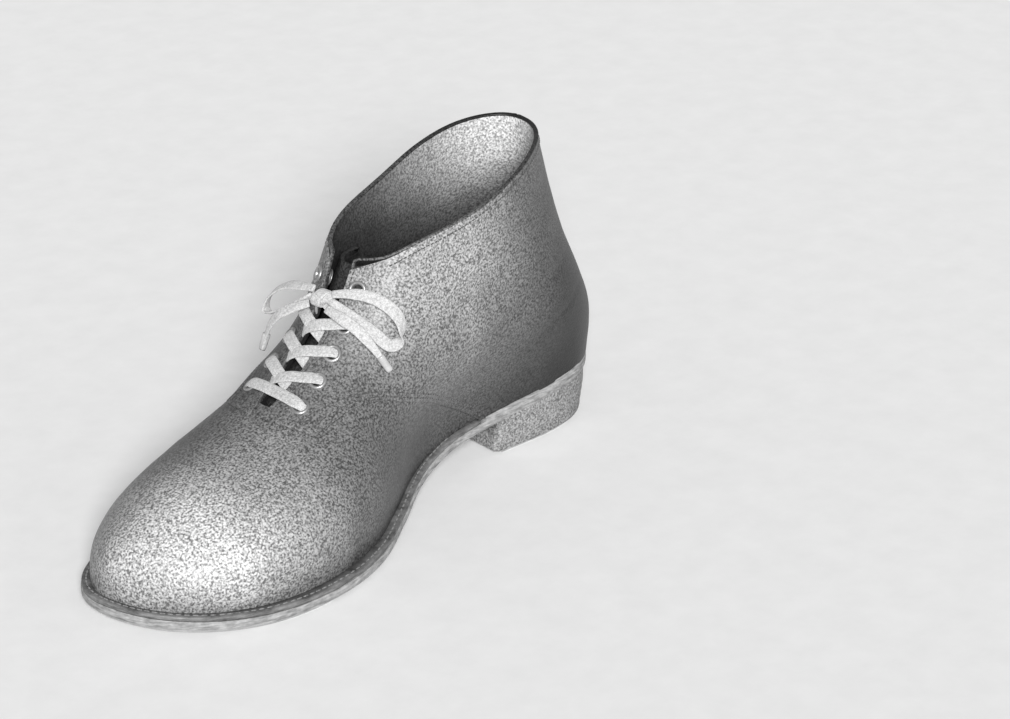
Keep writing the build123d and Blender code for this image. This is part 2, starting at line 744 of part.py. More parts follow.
# Free runs of the lace, each a list of points that the cord goes towards
LOOP_MEDIAL = [
    (17.7, 4.7, 97.2), (14.2, 12, 98.9), (8.7, 21.3, 97), (4.8, 29.6, 90.2), (5.6, 31, 81), (10.9, 28.4, 78.5),
    (14.2, 21.9, 86.6), (19.1, 4.7, 95.0),
]
LOOP_LATERAL = [
    (17.7, -4.7, 97.2), (18, -13, 96.5), (18, -22, 94), (19.8, -28.5, 88), (22, -28.5, 81), (22.5, -19, 84.5),
    (19.1, -4.7, 95.0),
]
END_MEDIAL = [(21, 4.7, 92), (21.8, 12.5, 91), (19.2, 20.5, 86.5), (15.6, 27.2, 77.2), (13.4, 31, 70.8)]
END_LATERAL = [(21, -4.7, 92), (26.2, -14, 88.3), (26.6, -21, 81), (25.8, -24.3, 74), (26.5, -26, 68)]
AGLET_LONG = 7.0
AGLET_WALL = 0.3


def corner_radii(points):
    """Each corner's largest neat radius: 0.45 of the shorter run over the tangent of half the turn."""
    radii = []
    for before, at, after in zip(points, points[1:], points[2:]):
        arriving, leaving = Vector(at) - Vector(before), Vector(after) - Vector(at)
        turn = math.radians(arriving.get_angle(leaving))
        radii.append(0.45 * min(arriving.length, leaving.length) / math.tan(turn / 2))
    return radii


def cord(points, radius=TUBE_R):
    """A round cord along straight runs joined by tangent arcs."""
    radii = corner_radii(points)
    print("smallest bend", round(min(radii), 1), "mm")
    with BuildPart() as tube:
        with BuildLine() as route:
            FilletPolyline(*points, radius=radii)
        length = sum(edge.length for edge in route.edges())
        with BuildSketch(Plane(origin=route.line @ 0, z_dir=route.line % 0)):
            Circle(radius)
        sweep()
    print("length", round(length, 1), "mm")
    return tube.part


def aglet(points):
    """The tag on a lace's end: a short tube with the lace inside it."""
    tip, before = Vector(points[-1]), Vector(points[-2])
    along = (before - tip).normalized()
    with BuildPart() as tag:
        with BuildSketch(Plane(origin=tip, z_dir=along)):
            Circle(TUBE_R + AGLET_WALL)
            Circle(TUBE_R, mode=Mode.SUBTRACT)
        extrude(amount=AGLET_LONG)
    return tag.part


def make_lace():
    """The laced part, the knot, and the free runs with their tags."""
    pack_step(make_laced_part(), "lace")
    pack_step(make_knot(), "lace_knot")
    pack_step(cord(LOOP_MEDIAL), "bow_loop_medial")
    pack_step(cord(LOOP_LATERAL), "bow_loop_lateral")
    pack_step(cord(END_MEDIAL), "lace_end_medial")
    pack_step(cord(END_LATERAL), "lace_end_lateral")
    pack_step(aglet(END_MEDIAL), "aglet_medial")
    pack_step(aglet(END_LATERAL), "aglet_lateral")


os.makedirs("parts", exist_ok=True)
make_bottom()
make_upper()
make_lace()
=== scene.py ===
"""Looks of the lace-up tap boot: leather upper, lining, laces, sole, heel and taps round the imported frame."""

import functools
import math

import bmesh
import bpy
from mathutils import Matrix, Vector, geometry, noise


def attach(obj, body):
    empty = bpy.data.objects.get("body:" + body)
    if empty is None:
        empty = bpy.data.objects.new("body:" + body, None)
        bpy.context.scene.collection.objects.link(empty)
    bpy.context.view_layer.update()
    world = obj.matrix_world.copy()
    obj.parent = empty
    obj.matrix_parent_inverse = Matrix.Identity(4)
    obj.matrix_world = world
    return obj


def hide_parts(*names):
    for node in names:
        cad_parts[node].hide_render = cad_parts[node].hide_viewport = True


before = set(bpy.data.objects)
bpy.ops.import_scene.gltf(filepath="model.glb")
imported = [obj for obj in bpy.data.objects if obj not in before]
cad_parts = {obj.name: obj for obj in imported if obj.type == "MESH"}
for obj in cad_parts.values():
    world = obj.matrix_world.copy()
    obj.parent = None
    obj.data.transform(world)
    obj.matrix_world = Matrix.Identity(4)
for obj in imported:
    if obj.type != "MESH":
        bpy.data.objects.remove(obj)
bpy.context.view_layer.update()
MM = 0.001
BOOT = "boot"

# ---- The last's shape, as in part.py, in millimetres ----

ORIGIN = Vector((1.3, 4.45, 0.0))
TOE_TIP = 142.0
TUCK = 2.5
STEEPEST = 2.6
TOE_BOX = 90.0
RIDGE = [
    (-12, 160), (0, 130), (5, 116), (9, 106), (14, 96), (22, 85), (32, 75), (43, 66.5), (55, 60),
    (72, 54), (92, 49), (110, 44), (124, 39), (134, 33), (140, 26), (143, 19), (145, 10),
]
BACK = [
    (0, -139), (14, -139.5), (24, -140.5), (32, -141.5), (40, -142), (51, -140), (67, -132.5),
    (86, -123.5), (104, -116.5), (118, -112), (131, -108.5), (150, -105),
]
FOOT_MEDIAL = [
    (-150, 27), (-120, 28.5), (-95, 28), (-70, 23.5), (-40, 18.5), (-15, 22), (12, 35), (38, 47), (68, 52.5),
    (145, 52.5),
]
FOOT_LATERAL = [
    (-150, 28), (-120, 29), (-95, 29), (-70, 30), (-40, 33), (-10, 37), (20, 42), (45, 43.5), (68, 44.5),
    (145, 44.5),
]
SWING = [(-150, -10.5), (-110, -6.5), (-70, -3.2), (-40, -1.2), (-15, 0), (0, 0)]
HEEL_ROUND = [(0, 31), (30, 32), (60, 40), (100, 54), (150, 64)]
LEG_MEDIAL = [(0, 30), (20, 32), (50, 35.5), (85, 35), (120, 35.5), (150, 36)]
LEG_LATERAL = [(0, 31), (20, 32), (50, 33), (85, 30), (120, 26.5), (150, 26)]
HEEL_TO_LEG = (20.0, 75.0)
INSTEP = 55.0
MEDIAL_TOE = (66.0, 2.2)
LATERAL_TOE = (42.0, 2.05)
WIDEST = 24.0
MEDIAL_CROWN = 2.0
LATERAL_CROWN = 1.8
RINGS = [
    (14, -7), (22, 6), (28, 18), (32, 27), (35, 34), (38, 40), (42, 45.5), (47, 50), (53, 54.5), (60, 60),
    (68, 67), (78, 76), (89, 88), (102, 102), (116, 117), (132, 133), (150, 150),
]
SOLE = [
    (-170, 26.4), (-138, 23.6), (-100, 20.2), (-66, 17.0), (-45, 14.0), (-25, 10.7), (-5, 7.4), (15, 4.5),
    (35, 2.6), (52, 1.8), (70, 1.7), (85, 1.7), (100, 2.0), (120, 3.2), (140, 5.2), (160, 7.6),
]
SOLE_EDGE = [(-150, 0.4), (-70, 0.5), (-40, 0.8), (-10, 1.6), (20, 2.4), (60, 2.8), (150, 2.6)]
NO_EDGE = [(-150, 0.0), (150, 0.0)]
TOPLINE = [
    (-150, 133), (-125, 133.5), (-105, 134), (-85, 132.5), (-66, 128.5), (-50, 124), (-35, 120.5),
    (-18, 117.5), (-8, 115), (0, 111.5), (5, 108.5), (9, 105), (14, 99), (18, 92),
]
SEAM = [(72, 65), (53, 55.6), (51.5, 55.1), (49.5, 55.8), (43, 58.2), (31, 60.6), (15, 58.2), (-11, 47.8),
        (-30, 37), (-46, 27.3), (-64, 14)]
GAP = [(10, 6.0), (18, 5.4), (36, 5.0), (50, 4.0), (61, 2.2)]
GAP_END = 61.0
ROWS = [(62, 14.5), (69, 13.5), (77, 12.5), (86, 11.5), (98.5, 11.5)]
LACED_ROWS = 4
SOLE_T = 3.4
WELT_T = 2.0
UPPER_BOTTOM = SOLE_T + WELT_T
TAP_T = 1.7
TOP_PIECE_TOP = 6.0
LIFT_T = 3.6  # the upper lift is a wedge that goes up to the outsole
HEEL_BREAST = -66.0
TONGUE_TOP = 104.0
TONGUE_FOOT = 52.0
QUARTER_T = 1.35
VAMP_T = 1.3
VAMP_OUT = -1.4  # how far each skin lies outside the last's; the quarters are at 0
LINING_OUT = -1.6
LINING_T = 2.4
TONGUE_OUT = -7.4
TONGUE_T = 1.6
RIM_OUT = -0.9


def through(stations, at):
    """The value at a position of a smooth curve through the stations, straight beyond both ends."""
    last = len(stations) - 1
    if at <= stations[0][0]:
        (x0, v0), (x1, v1) = stations[0], stations[1]
        return v0 + (v1 - v0) / (x1 - x0) * (at - x0)
    if at >= stations[last][0]:
        (x0, v0), (x1, v1) = stations[last - 1], stations[last]
        return v1 + (v1 - v0) / (x1 - x0) * (at - x1)
    i = next(k for k in range(last) if at < stations[k + 1][0])

    def slope(k):
        low, high = stations[max(k - 1, 0)], stations[min(k + 1, last)]
        return (high[1] - low[1]) / (high[0] - low[0])

    (x0, v0), (x1, v1) = stations[i], stations[i + 1]
    span = x1 - x0
    s = (at - x0) / span
    return (
        (1 + 2 * s) * (1 - s) ** 2 * v0
        + s * (1 - s) ** 2 * span * slope(i)
        + s * s * (3 - 2 * s) * v1
        + s * s * (s - 1) * span * slope(i + 1)
    )


def swing(x):
    return through(SWING, x)


def real(point):
    """A place in metres from the boot's own origin."""
    return (Vector(point) - ORIGIN) * MM


def step_up(s):
    s = min(max(s, 0.0), 1.0)
    return s * s * (3 - 2 * s)


@functools.lru_cache(None)
def ridge(x, grow):
    slope = (through(RIDGE, x + 1) - through(RIDGE, x - 1)) / 2 if x < TOE_BOX else 0.0
    return through(RIDGE, x) + grow * min(math.hypot(1, slope), STEEPEST)


def ridge_x(z, grow=0):
    """Where the ridge line comes down to a height in the side view."""
    return solve(lambda at: z < ridge(at, grow), -20.0, 120.0)


def back(z, grow):
    return through(BACK, z) - grow


def half_width(x, z, side, grow):
    """Half-width of the last's skin, grown outwards, on the medial (side +1) or lateral (side -1) side."""
    tip = TOE_TIP + grow
    start, power = MEDIAL_TOE if side > 0 else LATERAL_TOE
    foot = through(FOOT_MEDIAL if side > 0 else FOOT_LATERAL, x)
    leg = through(LEG_MEDIAL if side > 0 else LEG_LATERAL, z)
    low, high = HEEL_TO_LEG
    wide = foot + (leg - foot) * step_up((z - low) / (high - low)) * (1 - step_up(x / INSTEP)) + grow
    if x > start:
        s = min((x - start) / (tip - start), 1.0)
        wide *= (1 - s**power) ** (1 / power)
    heel_round = through(HEEL_ROUND, z)
    s = min(max((x - back(z, grow)) / heel_round, 0.0), 1.0)
    wide *= math.sqrt(1 - (1 - s) ** 2)
    top = ridge(x, grow)
    middle = min(WIDEST, 0.45 * top)
    if z > middle:
        s = min((z - middle) / (top - middle), 1.0)
        power = MEDIAL_CROWN if side > 0 else LATERAL_CROWN
        wide *= max(1 - s**power, 0.0) ** (1 / power)
    else:
        wide -= TUCK * ((middle - z) / middle) ** 2
    return wide


def solve(inside, low, high):
    """The place between low, which is inside, and high, which isn't, where inside changes."""
    for _ in range(32):
        mid = (low + high) / 2
        low, high = (mid, high) if inside(mid) else (low, mid)
    return (low + high) / 2


def sole(x, up=0.0):
    return through(SOLE, x) + up


def topline(x):
    return through(TOPLINE, min(x, TOPLINE[-1][0]))


@functools.lru_cache(None)
def ring_ends(t, grow):
    """Front and rear end, level and tilt of the ring at a fractional place in RINGS."""
    i = min(int(t), len(RINGS) - 2)
    s = t - i
    z_back = RINGS[i][0] + (RINGS[i + 1][0] - RINGS[i][0]) * s
    z_front = RINGS[i][1] + (RINGS[i + 1][1] - RINGS[i][1]) * s
    tilt = (z_front - z_back) / 300.0
    level = (z_back + z_front) / 2
    front = solve(lambda x: x < TOE_TIP + grow and level + tilt * x < ridge(x, grow), -20.0, 160.0)
    rear = -solve(lambda d: -d > back(level - tilt * d, grow), 20.0, 170.0)
    return front, rear, level, tilt


def skin(t, turn, grow=0.0):
    """A point of the last's skin, on ring t, at a turn from the front over the medial side."""
    front, rear, level, tilt = ring_ends(t, grow)
    x = (front + rear) / 2 + (front - rear) / 2 * math.cos(turn)
    z = level + tilt * x
    side = 1 if math.sin(turn) >= 0 else -1
    wide = half_width(x, z, side, grow) if abs(math.sin(turn)) > 1e-6 else 0.0
    return Vector((x, swing(x) + side * wide, z))


def skin_at(z, y, grow=0.0):
    """The point of the leg's or instep's front at a height and distance from the middle, and its normal."""
    side = 1 if y >= 0 else -1
    x = solve(lambda at: half_width(at, z, side, grow) > abs(y), -20.0, 120.0)
    return Vector((x, y, z)), skin_normal(x, z, side, grow)


def skin_normal(x, z, side, grow=0.0):
    small = 0.5
    slope_x = (half_width(x + small, z, side, grow) - half_width(x - small, z, side, grow)) / (2 * small)
    slope_z = (half_width(x, z + small, side, grow) - half_width(x, z - small, side, grow)) / (2 * small)
    return Vector((-slope_x, side, -slope_z)).normalized()


def on_skin(x, z, side, grow=0.0):
    """The point of the side wall at a place in the side view, and its normal."""
    return Vector((x, swing(x) + side * half_width(x, z, side, grow), z)), skin_normal(x, z, side, grow)


def is_inside(point):
    if point.x >= TOE_TIP or point.z >= ridge(point.x, 0) or point.x <= back(point.z, 0):
        return False
    return abs(point.y) < half_width(point.x, point.z, 1 if point.y >= 0 else -1, 0)


# ---- Signed distances that the leather is cut along; positive is kept ----


def dense(stations, parts=6):
    """A smooth line through the points, as many short runs."""
    points = [Vector(p) for p in stations]
    line = []
    for i in range(len(points) - 1):
        p0, p1 = points[max(i - 1, 0)], points[i]
        p2, p3 = points[i + 1], points[min(i + 2, len(points) - 1)]
        for k in range(parts):
            s = k / parts
            line.append(
                0.5 * (2 * p1 + (p2 - p0) * s + (2 * p0 - 5 * p1 + 4 * p2 - p3) * s**2
                       + (3 * p1 - p0 - 3 * p2 + p3) * s**3)
            )
    line.append(points[-1])
    return line


SEAM_LINE = [Vector(SEAM[0]), *dense(SEAM[1:])]


def behind_seam(x, z):
    """Distance behind the derby seam in the side view; negative on the vamp."""
    best, sign = 1e9, 1.0
    at = Vector((x, z))
    for a, b in zip(SEAM_LINE, SEAM_LINE[1:]):
        run = b - a
        s = min(max((at - a).dot(run) / run.length_squared, 0.0), 1.0)
        near = a + run * s
        away = (at - near).length
        if away < best - 1e-9:
            best = away
            cross = run.x * (at.y - a.y) - run.y * (at.x - a.x)
            sign = -1.0 if cross > 0 else 1.0
    return best * sign


def gap_half(x):
    return through(GAP, max(x, 6.0))


def beside_gap(x, y):
    """Distance outside the opening between the facings."""
    if x < -20:
        return 99.0
    return max(abs(y) - gap_half(x), x - GAP_END)


# ---- Mesh helpers ----


def link(obj):
    bpy.context.scene.collection.objects.link(obj)
    return obj


def new_object(name, mesh, body=BOOT):
    for polygon in mesh.polygons:
        polygon.use_smooth = True
    obj = link(bpy.data.objects.new(name, mesh))
    if body:
        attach(obj, body)
    return obj


def mesh_of(name, points, faces):
    mesh = bpy.data.meshes.new(name)
    mesh.from_pydata([tuple(real(p)) for p in points], [], faces)
    mesh.validate()
    return mesh


def sheet_grid(name, keep, grow, levels, rows, columns, relief):
    """A skin of the last, raised by relief(point, normal) and cut to where keep(x, y, z) is positive."""
    plain = []
    for i in range(rows + 1):
        t = levels[0] + (levels[1] - levels[0]) * i / rows
        plain.append([skin(t, 2 * math.pi * (j + 0.5) / columns, grow) for j in range(columns)])
    flat = []
    for i in range(rows + 1):
        for j in range(columns):
            up = plain[min(i + 1, rows)][j] - plain[max(i - 1, 0)][j]
            along = plain[i][(j + 1) % columns] - plain[i][j - 1]
            normal = along.cross(up)
            normal = normal.normalized() if normal.length > 1e-6 else Vector((0, 0, 1))
            flat.append(plain[i][j] + normal * relief(plain[i][j], normal))
    value = [keep(p.x, p.y, p.z) for p in flat]
    faces = []
    for i in range(rows):
        for j in range(columns):
            k = (j + 1) % columns
            quad = (i * columns + j, i * columns + k, (i + 1) * columns + k, (i + 1) * columns + j)
            if max(value[v] for v in quad) > 0:
                faces.append(quad)
    mesh = mesh_of(name, flat, faces)
    work = bmesh.new()
    work.from_mesh(mesh)
    layer = work.verts.layers.float.new("keep")
    for vert, number in zip(work.verts, value):
        vert[layer] = number
    cut = []
    for edge in list(work.edges):
        a, b = edge.verts
        if a[layer] * b[layer] < 0:
            share = a[layer] / (a[layer] - b[layer])
            _, vert = bmesh.utils.edge_split(edge, a, share)
            vert[layer] = 0.0
            cut.append(vert)
    bmesh.ops.connect_verts(work, verts=cut)
    waste = [f for f in work.faces if sum(v[layer] for v in f.verts) < 0]
    bmesh.ops.delete(work, geom=waste, context="FACES")
    loose = [v for v in work.verts if not v.link_faces]
    bmesh.ops.delete(work, geom=loose, context="VERTS")
    bmesh.ops.remove_doubles(work, verts=work.verts, dist=0.00008)
    bmesh.ops.recalc_face_normals(work, faces=work.faces)
    work.verts.layers.float.remove(work.verts.layers.float["keep"])
    work.to_mesh(mesh)
    work.free()
    return mesh


def thicken(obj, thick, bevel=0.35, skive=None):
    """Gives a sheet its thickness. skive(x, z) is the share of it that is left at a place."""
    solid = obj.modifiers.new("Thickness", "SOLIDIFY")
    solid.thickness = thick * MM
    if skive:
        group = obj.vertex_groups.new(name="left")
        for vert in obj.data.vertices:
            place = vert.co / MM + ORIGIN
            group.add([vert.index], skive(place.x, place.z), "REPLACE")
        solid.vertex_group = group.name
    solid.offset = -1.0
    solid.use_rim = True
    edge = obj.modifiers.new("Edge", "BEVEL")
    edge.width = bevel * MM
    edge.segments = 2
    edge.limit_method = "ANGLE"
    edge.angle_limit = math.radians(50)
    edge.harden_normals = False
    return obj


def consistent(mesh, crease=None):
    """Makes the faces' normals agree, and sharpens edges that bend more than the crease angle."""
    work = bmesh.new()
    work.from_mesh(mesh)
    bmesh.ops.recalc_face_normals(work, faces=work.faces)
    if crease:
        for edge in work.edges:
            if len(edge.link_faces) == 2 and edge.calc_face_angle(0) > crease:
                edge.smooth = False
    work.to_mesh(mesh)
    work.free()
    return mesh


def face_out(mesh, centre=Vector((0, 0, 0.05))):
    """Turns the mesh's normals away from a point, if most look at it."""
    away = sum((p.center - centre).dot(p.normal) * p.area for p in mesh.polygons)
    if away < 0:
        mesh.flip_normals()


def wall_faces(rings, size, base=0):
    """Quads between closed rings of points that follow one another."""
    faces = []
    for i in range(base, base + (rings - 1) * size, size):
        for k in range(size):
            n = (k + 1) % size
            faces.append((i + k, i + n, i + size + n, i + size + k))
    return faces


def tube_faces(rings, size, base=0):
    """The same with both ends closed."""
    last = base + (rings - 1) * size
    ends = [tuple(range(base, base + size))[::-1], tuple(range(last, last + size))]
    return wall_faces(rings, size, base) + ends


def ribbon(name, path, normals, widths, thicks, corners=14, flat=0.42, body=BOOT):
    """A flat woven band along a path. Each cross-section is a rounded flat oval."""
    points = []
    count = len(path)
    for i in range(count):
        along = (path[min(i + 1, count - 1)] - path[max(i - 1, 0)]).normalized()
        up = (normals[i] - along * normals[i].dot(along)).normalized()
        across = along.cross(up)
        for k in range(corners):
            a = 2 * math.pi * k / corners
            c, s = math.cos(a), math.sin(a)
            wide = math.copysign(abs(c) ** flat, c) * widths[i] / 2
            high = math.copysign(abs(s) ** 0.75, s) * thicks[i] / 2
            points.append(path[i] + across * wide + up * high)
    return new_object(name, consistent(mesh_of(name, points, tube_faces(count, corners))), body)


def lathe(name, origin, normal, profile, turns=40):
    """A ring turned about the normal at the origin. The profile is a closed list of (radius, height)."""
    side = Vector((0, 1, 0)).cross(normal).normalized()
    other = normal.cross(side)
    points, faces = [], []
    size = len(profile)
    for i in range(turns):
        a = 2 * math.pi * i / turns
        out = side * math.cos(a) + other * math.sin(a)
        points += [origin + out * r + normal * h for r, h in profile]
    for i in range(turns):
        n = (i + 1) % turns
        for k in range(size):
            m = (k + 1) % size
            faces.append((i * size + k, n * size + k, n * size + m, i * size + m))
    return new_object(name, consistent(mesh_of(name, points, faces)))


def join(name, parts):
    """One object out of several."""
    mesh = bpy.data.meshes.new(name)
    work = bmesh.new()
    for part in parts:
        work.from_mesh(part.data)
    work.to_mesh(mesh)
    work.free()
    for part in parts:
        bpy.data.objects.remove(part, do_unlink=True)
    return new_object(name, mesh)


# ---- Materials ----


def put(node, inputs):
    """Sets a node's inputs, or links them where the value is another node's output."""
    for key, value in inputs.items():
        if isinstance(value, bpy.types.NodeSocket):
            node.id_data.links.new(value, node.inputs[key])
        else:
            node.inputs[key].default_value = value
    return node


def add(tree, kind, inputs):
    return put(tree.nodes.new("ShaderNode" + kind), inputs)


def node_material(name):
    """A new material, its tree and shader, and the output with the object's own coordinates."""
    material = bpy.data.materials.new(name)
    material.use_nodes = True
    tree = material.node_tree
    return material, tree, tree.nodes["Principled BSDF"], add(tree, "TexCoord", {}).outputs["Object"]


def noise_node(tree, source, scale, detail, rough):
    return add(tree, "TexNoise", {"Vector": source, "Scale": scale, "Detail": detail, "Roughness": rough})


def ramp(tree, source, stops):
    """The colours at the stops, by the source's value."""
    node = add(tree, "ValToRGB", {"Fac": source})
    elements = node.color_ramp.elements
    while len(elements) < len(stops):
        elements.new(0.5)
    for element, (place, colour) in zip(elements, stops):
        element.position = place
        element.color = (*colour, 1.0)
    return node.outputs["Color"]


def bump_node(tree, height, strength, distance):
    return add(tree, "Bump", {"Height": height, "Strength": strength, "Distance": distance * MM})


def uneven(tree, source, rough, less, more):
    """A roughness that follows the source from less under to more over the given one."""
    span = {"Value": source, "To Min": rough - less, "To Max": rough + more}
    return add(tree, "MapRange", span).outputs["Result"]


def mix_colour(tree, a, b, factor=None):
    """The two colours mixed by the factor's output, or multiplied if there is none."""
    node = tree.nodes.new("ShaderNodeMix")
    node.data_type = "RGBA"
    node.blend_type = "MIX" if factor else "MULTIPLY"
    return put(node, {0: factor or 1.0, 6: a, 7: b}).outputs[2]


def grey(value):
    return (value, value, value)


# How much of its lightness the leather keeps, by place along and across the boot and by height: painted
# shade and painted highlight. The heel, the waist, the lateral side and the foot of the upper are painted
# dark as shade, and the toe and the top of the medial side are left light as a painted highlight.
UPPER_PAINTED_SHADE = {
    "along": [(-140, 0.04), (-105, 0.08), (-70, 0.28), (-35, 0.64), (0, 0.55), (25, 0.35), (50, 0.38),
              (80, 0.6), (110, 1.0), (140, 0.8)],
    "across": [(-55, 0.35), (-20, 0.6), (5, 1.0), (60, 1.0)],
    "rear": [(0, 0.12), (25, 0.2), (45, 0.42), (70, 0.64), (95, 1.0), (135, 0.9)],
    "front": [(0, 0.35), (9, 0.5), (20, 0.85), (32, 1.0), (60, 0.85), (135, 0.8)],
}
# Painted shade inside the boot: the lining is dark low down and towards the front, and light only at the top of
# the back.
LINING_PAINTED_SHADE = {
    "along": [(-140, 1.0), (-100, 0.9), (-65, 0.5), (-35, 0.22), (-5, 0.1), (140, 0.1)],
    "rear": [(0, 0.04), (70, 0.07), (98, 0.3), (118, 0.9), (135, 1.0)],
    "front": [(0, 0.1), (135, 0.1)],
}
# Painted shade on the heel: dark at the breast and in front of it, and a little darker at the back.
HEEL_PAINTED_SHADE = {"along": [(-140, 0.6), (-100, 0.8), (-66, 0.8), (-61, 0.12), (140, 0.1)]}
REAR_TO_FRONT = [(10, 0.0), (60, 1.0)]  # where the front's heights take over from the rear's


def shade_node(tree, source, stations):
    """A grey factor that follows a coordinate, through the stations given in millimetres."""
    low, high = stations[0][0], stations[-1][0]
    span = add(tree, "MapRange", {"Value": source, "From Min": low * MM, "From Max": high * MM})
    stops = [((at - low) / (high - low), grey(value)) for at, value in stations]
    return ramp(tree, span.outputs["Result"], stops)


def shaded(tree, place, coarse, colour, shade):
    """The colour times the shade's factors, with an uneven border between them."""
    wobble = add(tree, "MixRGB", {"Fac": 0.012, "Color1": place, "Color2": coarse.outputs["Color"]})
    wobble.blend_type = "LINEAR_LIGHT"
    split = add(tree, "SeparateXYZ", {0: wobble.outputs["Color"]}).outputs
    factors = [shade_node(tree, split["X"], shade["along"])]
    if "across" in shade:
        factors.append(shade_node(tree, split["Y"], shade["across"]))
    if "rear" in shade:
        rear = shade_node(tree, split["Z"], shade["rear"])
        front = shade_node(tree, split["Z"], shade["front"])
        factors.append(mix_colour(tree, rear, front, shade_node(tree, split["X"], REAR_TO_FRONT)))
    for factor in factors:
        colour = mix_colour(tree, colour, factor)
    return colour


def leather_material(name, dark, light, rough=0.5, grain=1100.0, shade=None, coat=0.3):
    """Pebbled leather: light and dark grains, a soft bump, wax polish, and painted shade and highlight."""
    material, tree, shader, place = node_material(name)
    fine = noise_node(tree, place, grain, 1.5, 0.6)
    coarse = noise_node(tree, place, 30.0, 3.0, 0.5)
    specks = ramp(tree, fine.outputs["Fac"], [(0.35, dark), (0.65, light)])
    patches = ramp(tree, coarse.outputs["Fac"], [(0.3, grey(0.85)), (0.7, grey(1.0))])
    colour = mix_colour(tree, specks, patches)
    # The shade table multiplies painted shade and painted highlight into the colour.
    if shade:
        colour = shaded(tree, place, coarse, colour, shade)
    pebble = add(tree, "TexVoronoi", {"Vector": place, "Scale": grain * 1.05})
    pebbled = bump_node(tree, pebble.outputs["Distance"], 0.3, 0.4)
    bump = put(bump_node(tree, fine.outputs["Fac"], 0.25, 0.5), {"Normal": pebbled.outputs["Normal"]})
    put(shader, {
        "Base Color": colour, "Roughness": uneven(tree, fine.outputs["Fac"], rough, 0.08, 0.12),
        "Normal": bump.outputs["Normal"], "Specular IOR Level": 0.35, "Coat Weight": coat,
        "Coat Roughness": 0.42,
    })
    return material


def edge_material(name, dark, light):
    """Trimmed sole leather: fibres that run along the layers."""
    material, tree, shader, place = node_material(name)
    squeeze = add(tree, "Mapping", {"Vector": place, "Scale": (0.16, 0.16, 1.0)})
    fibres = noise_node(tree, squeeze.outputs["Vector"], 900.0, 3.0, 0.65)
    blotch = noise_node(tree, place, 300.0, 3.0, 0.6)
    base = ramp(tree, fibres.outputs["Fac"], [(0.32, dark), (0.66, light)])
    soil = ramp(tree, blotch.outputs["Fac"], [(0.3, grey(0.66)), (0.62, grey(1.0))])
    bump = bump_node(tree, fibres.outputs["Fac"], 0.4, 0.3)
    put(shader, {
        "Base Color": mix_colour(tree, base, soil), "Roughness": 0.6, "Normal": bump.outputs["Normal"],
    })
    return material


def lace_material(name, dark, light):
    """Flat woven cotton: a fine weave."""
    material, tree, shader, place = node_material(name)
    weave = add(tree, "TexVoronoi", {"Vector": place, "Scale": 1500.0}).outputs["Distance"]
    soft = noise_node(tree, place, 900.0, 2.0, 0.6)
    base = ramp(tree, soft.outputs["Fac"], [(0.3, dark), (0.6, light)])
    knots = ramp(tree, weave, [(0.0, grey(1.0)), (0.75, grey(0.7))])
    bump = bump_node(tree, weave, 0.6, 0.3)
    bump.invert = True
    put(shader, {
        "Base Color": mix_colour(tree, base, knots), "Roughness": 0.85, "Sheen Weight": 0.25,
        "Normal": bump.outputs["Normal"],
    })
    return material


def metal_material(name, colour, rough, metallic=1.0):
    """Worn metal: fine scratches and slightly uneven polish."""
    material, tree, shader, place = node_material(name)
    wear = noise_node(tree, place, 240.0, 4.0, 0.6).outputs["Fac"]
    put(shader, {
        "Base Color": ramp(tree, wear, [(0.3, grey(colour * 0.75)), (0.65, grey(colour))]),
        "Roughness": uneven(tree, wear, rough, 0.1, 0.15), "Metallic": metallic,
    })
    return material


def plain_floor_material():
    material, tree, shader, place = node_material("floor_paper")
    tooth = noise_node(tree, place, 60.0, 4.0, 0.6)
    tint = ramp(tree, tooth.outputs["Fac"], [(0.3, grey(0.80)), (0.7, grey(0.84))])
    put(shader, {"Base Color": tint, "Roughness": 0.9, "Specular IOR Level": 0.1})
    return material


MAT = {
    # The materials given a shade table carry painted shade and painted highlight in their colour.
    "upper": leather_material("upper_grain", grey(0.14), grey(0.78), shade=UPPER_PAINTED_SHADE),
    # The binding's dark edge colour is its own. The shade table adds painted shade on top of it.
    "binding": leather_material("edge_burnish_painted_shade", grey(0.03), grey(0.3), shade=UPPER_PAINTED_SHADE, coat=0.2),
    "lining": leather_material("lining_grain", grey(0.3), grey(0.95), 0.7, shade=LINING_PAINTED_SHADE, coat=0.0),
    # The tongue's leather is near black: painted shade in the gap between the facings.
    "tongue": leather_material("tongue_grain", grey(0.01), grey(0.06), 0.6, coat=0.0),
    "footbed": leather_material("footbed_grain", grey(0.16), grey(0.4), 0.7, coat=0.0),
    "welt": edge_material("welt_edge", grey(0.07), grey(0.2)),
    "outsole": edge_material("outsole_edge", grey(0.16), grey(0.4)),
    "heel": leather_material("heel_stack_grain", grey(0.12), grey(0.45), 0.6, shade=HEEL_PAINTED_SHADE, coat=0.1),
    "rubber": leather_material("heel_rubber_grain", grey(0.11), grey(0.42), 0.7, shade=HEEL_PAINTED_SHADE, coat=0.0),
    "thread": lace_material("waxed_thread", grey(0.02), grey(0.08)),
    "welt_thread": lace_material("welt_thread", grey(0.1), grey(0.25)),
    "lace": lace_material("woven_lace", grey(0.42), grey(0.6)),
    "eyelet": metal_material("eyelet_enamel", 0.42, 0.36, 0.7),
    "tap": metal_material("tap_alloy", 0.62, 0.34),
    "screw": metal_material("screw_steel", 0.5, 0.32),
    "tag": metal_material("aglet_shell", 0.4, 0.3, 0.0),
    "board": edge_material("pressed_board", grey(0.14), grey(0.3)),
    "cork": leather_material("ground_cork", (0.16, 0.10, 0.05), (0.40, 0.27, 0.16), 0.9, 420.0, coat=0.0),
}


def paint(obj, key, node=None):
    """Gives a piece its material, and hides the CAD node that it replaces."""
    obj.data.materials.clear()
    obj.data.materials.append(MAT[key])
    if node:
        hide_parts(node)
    return obj


# ---- Camera ----


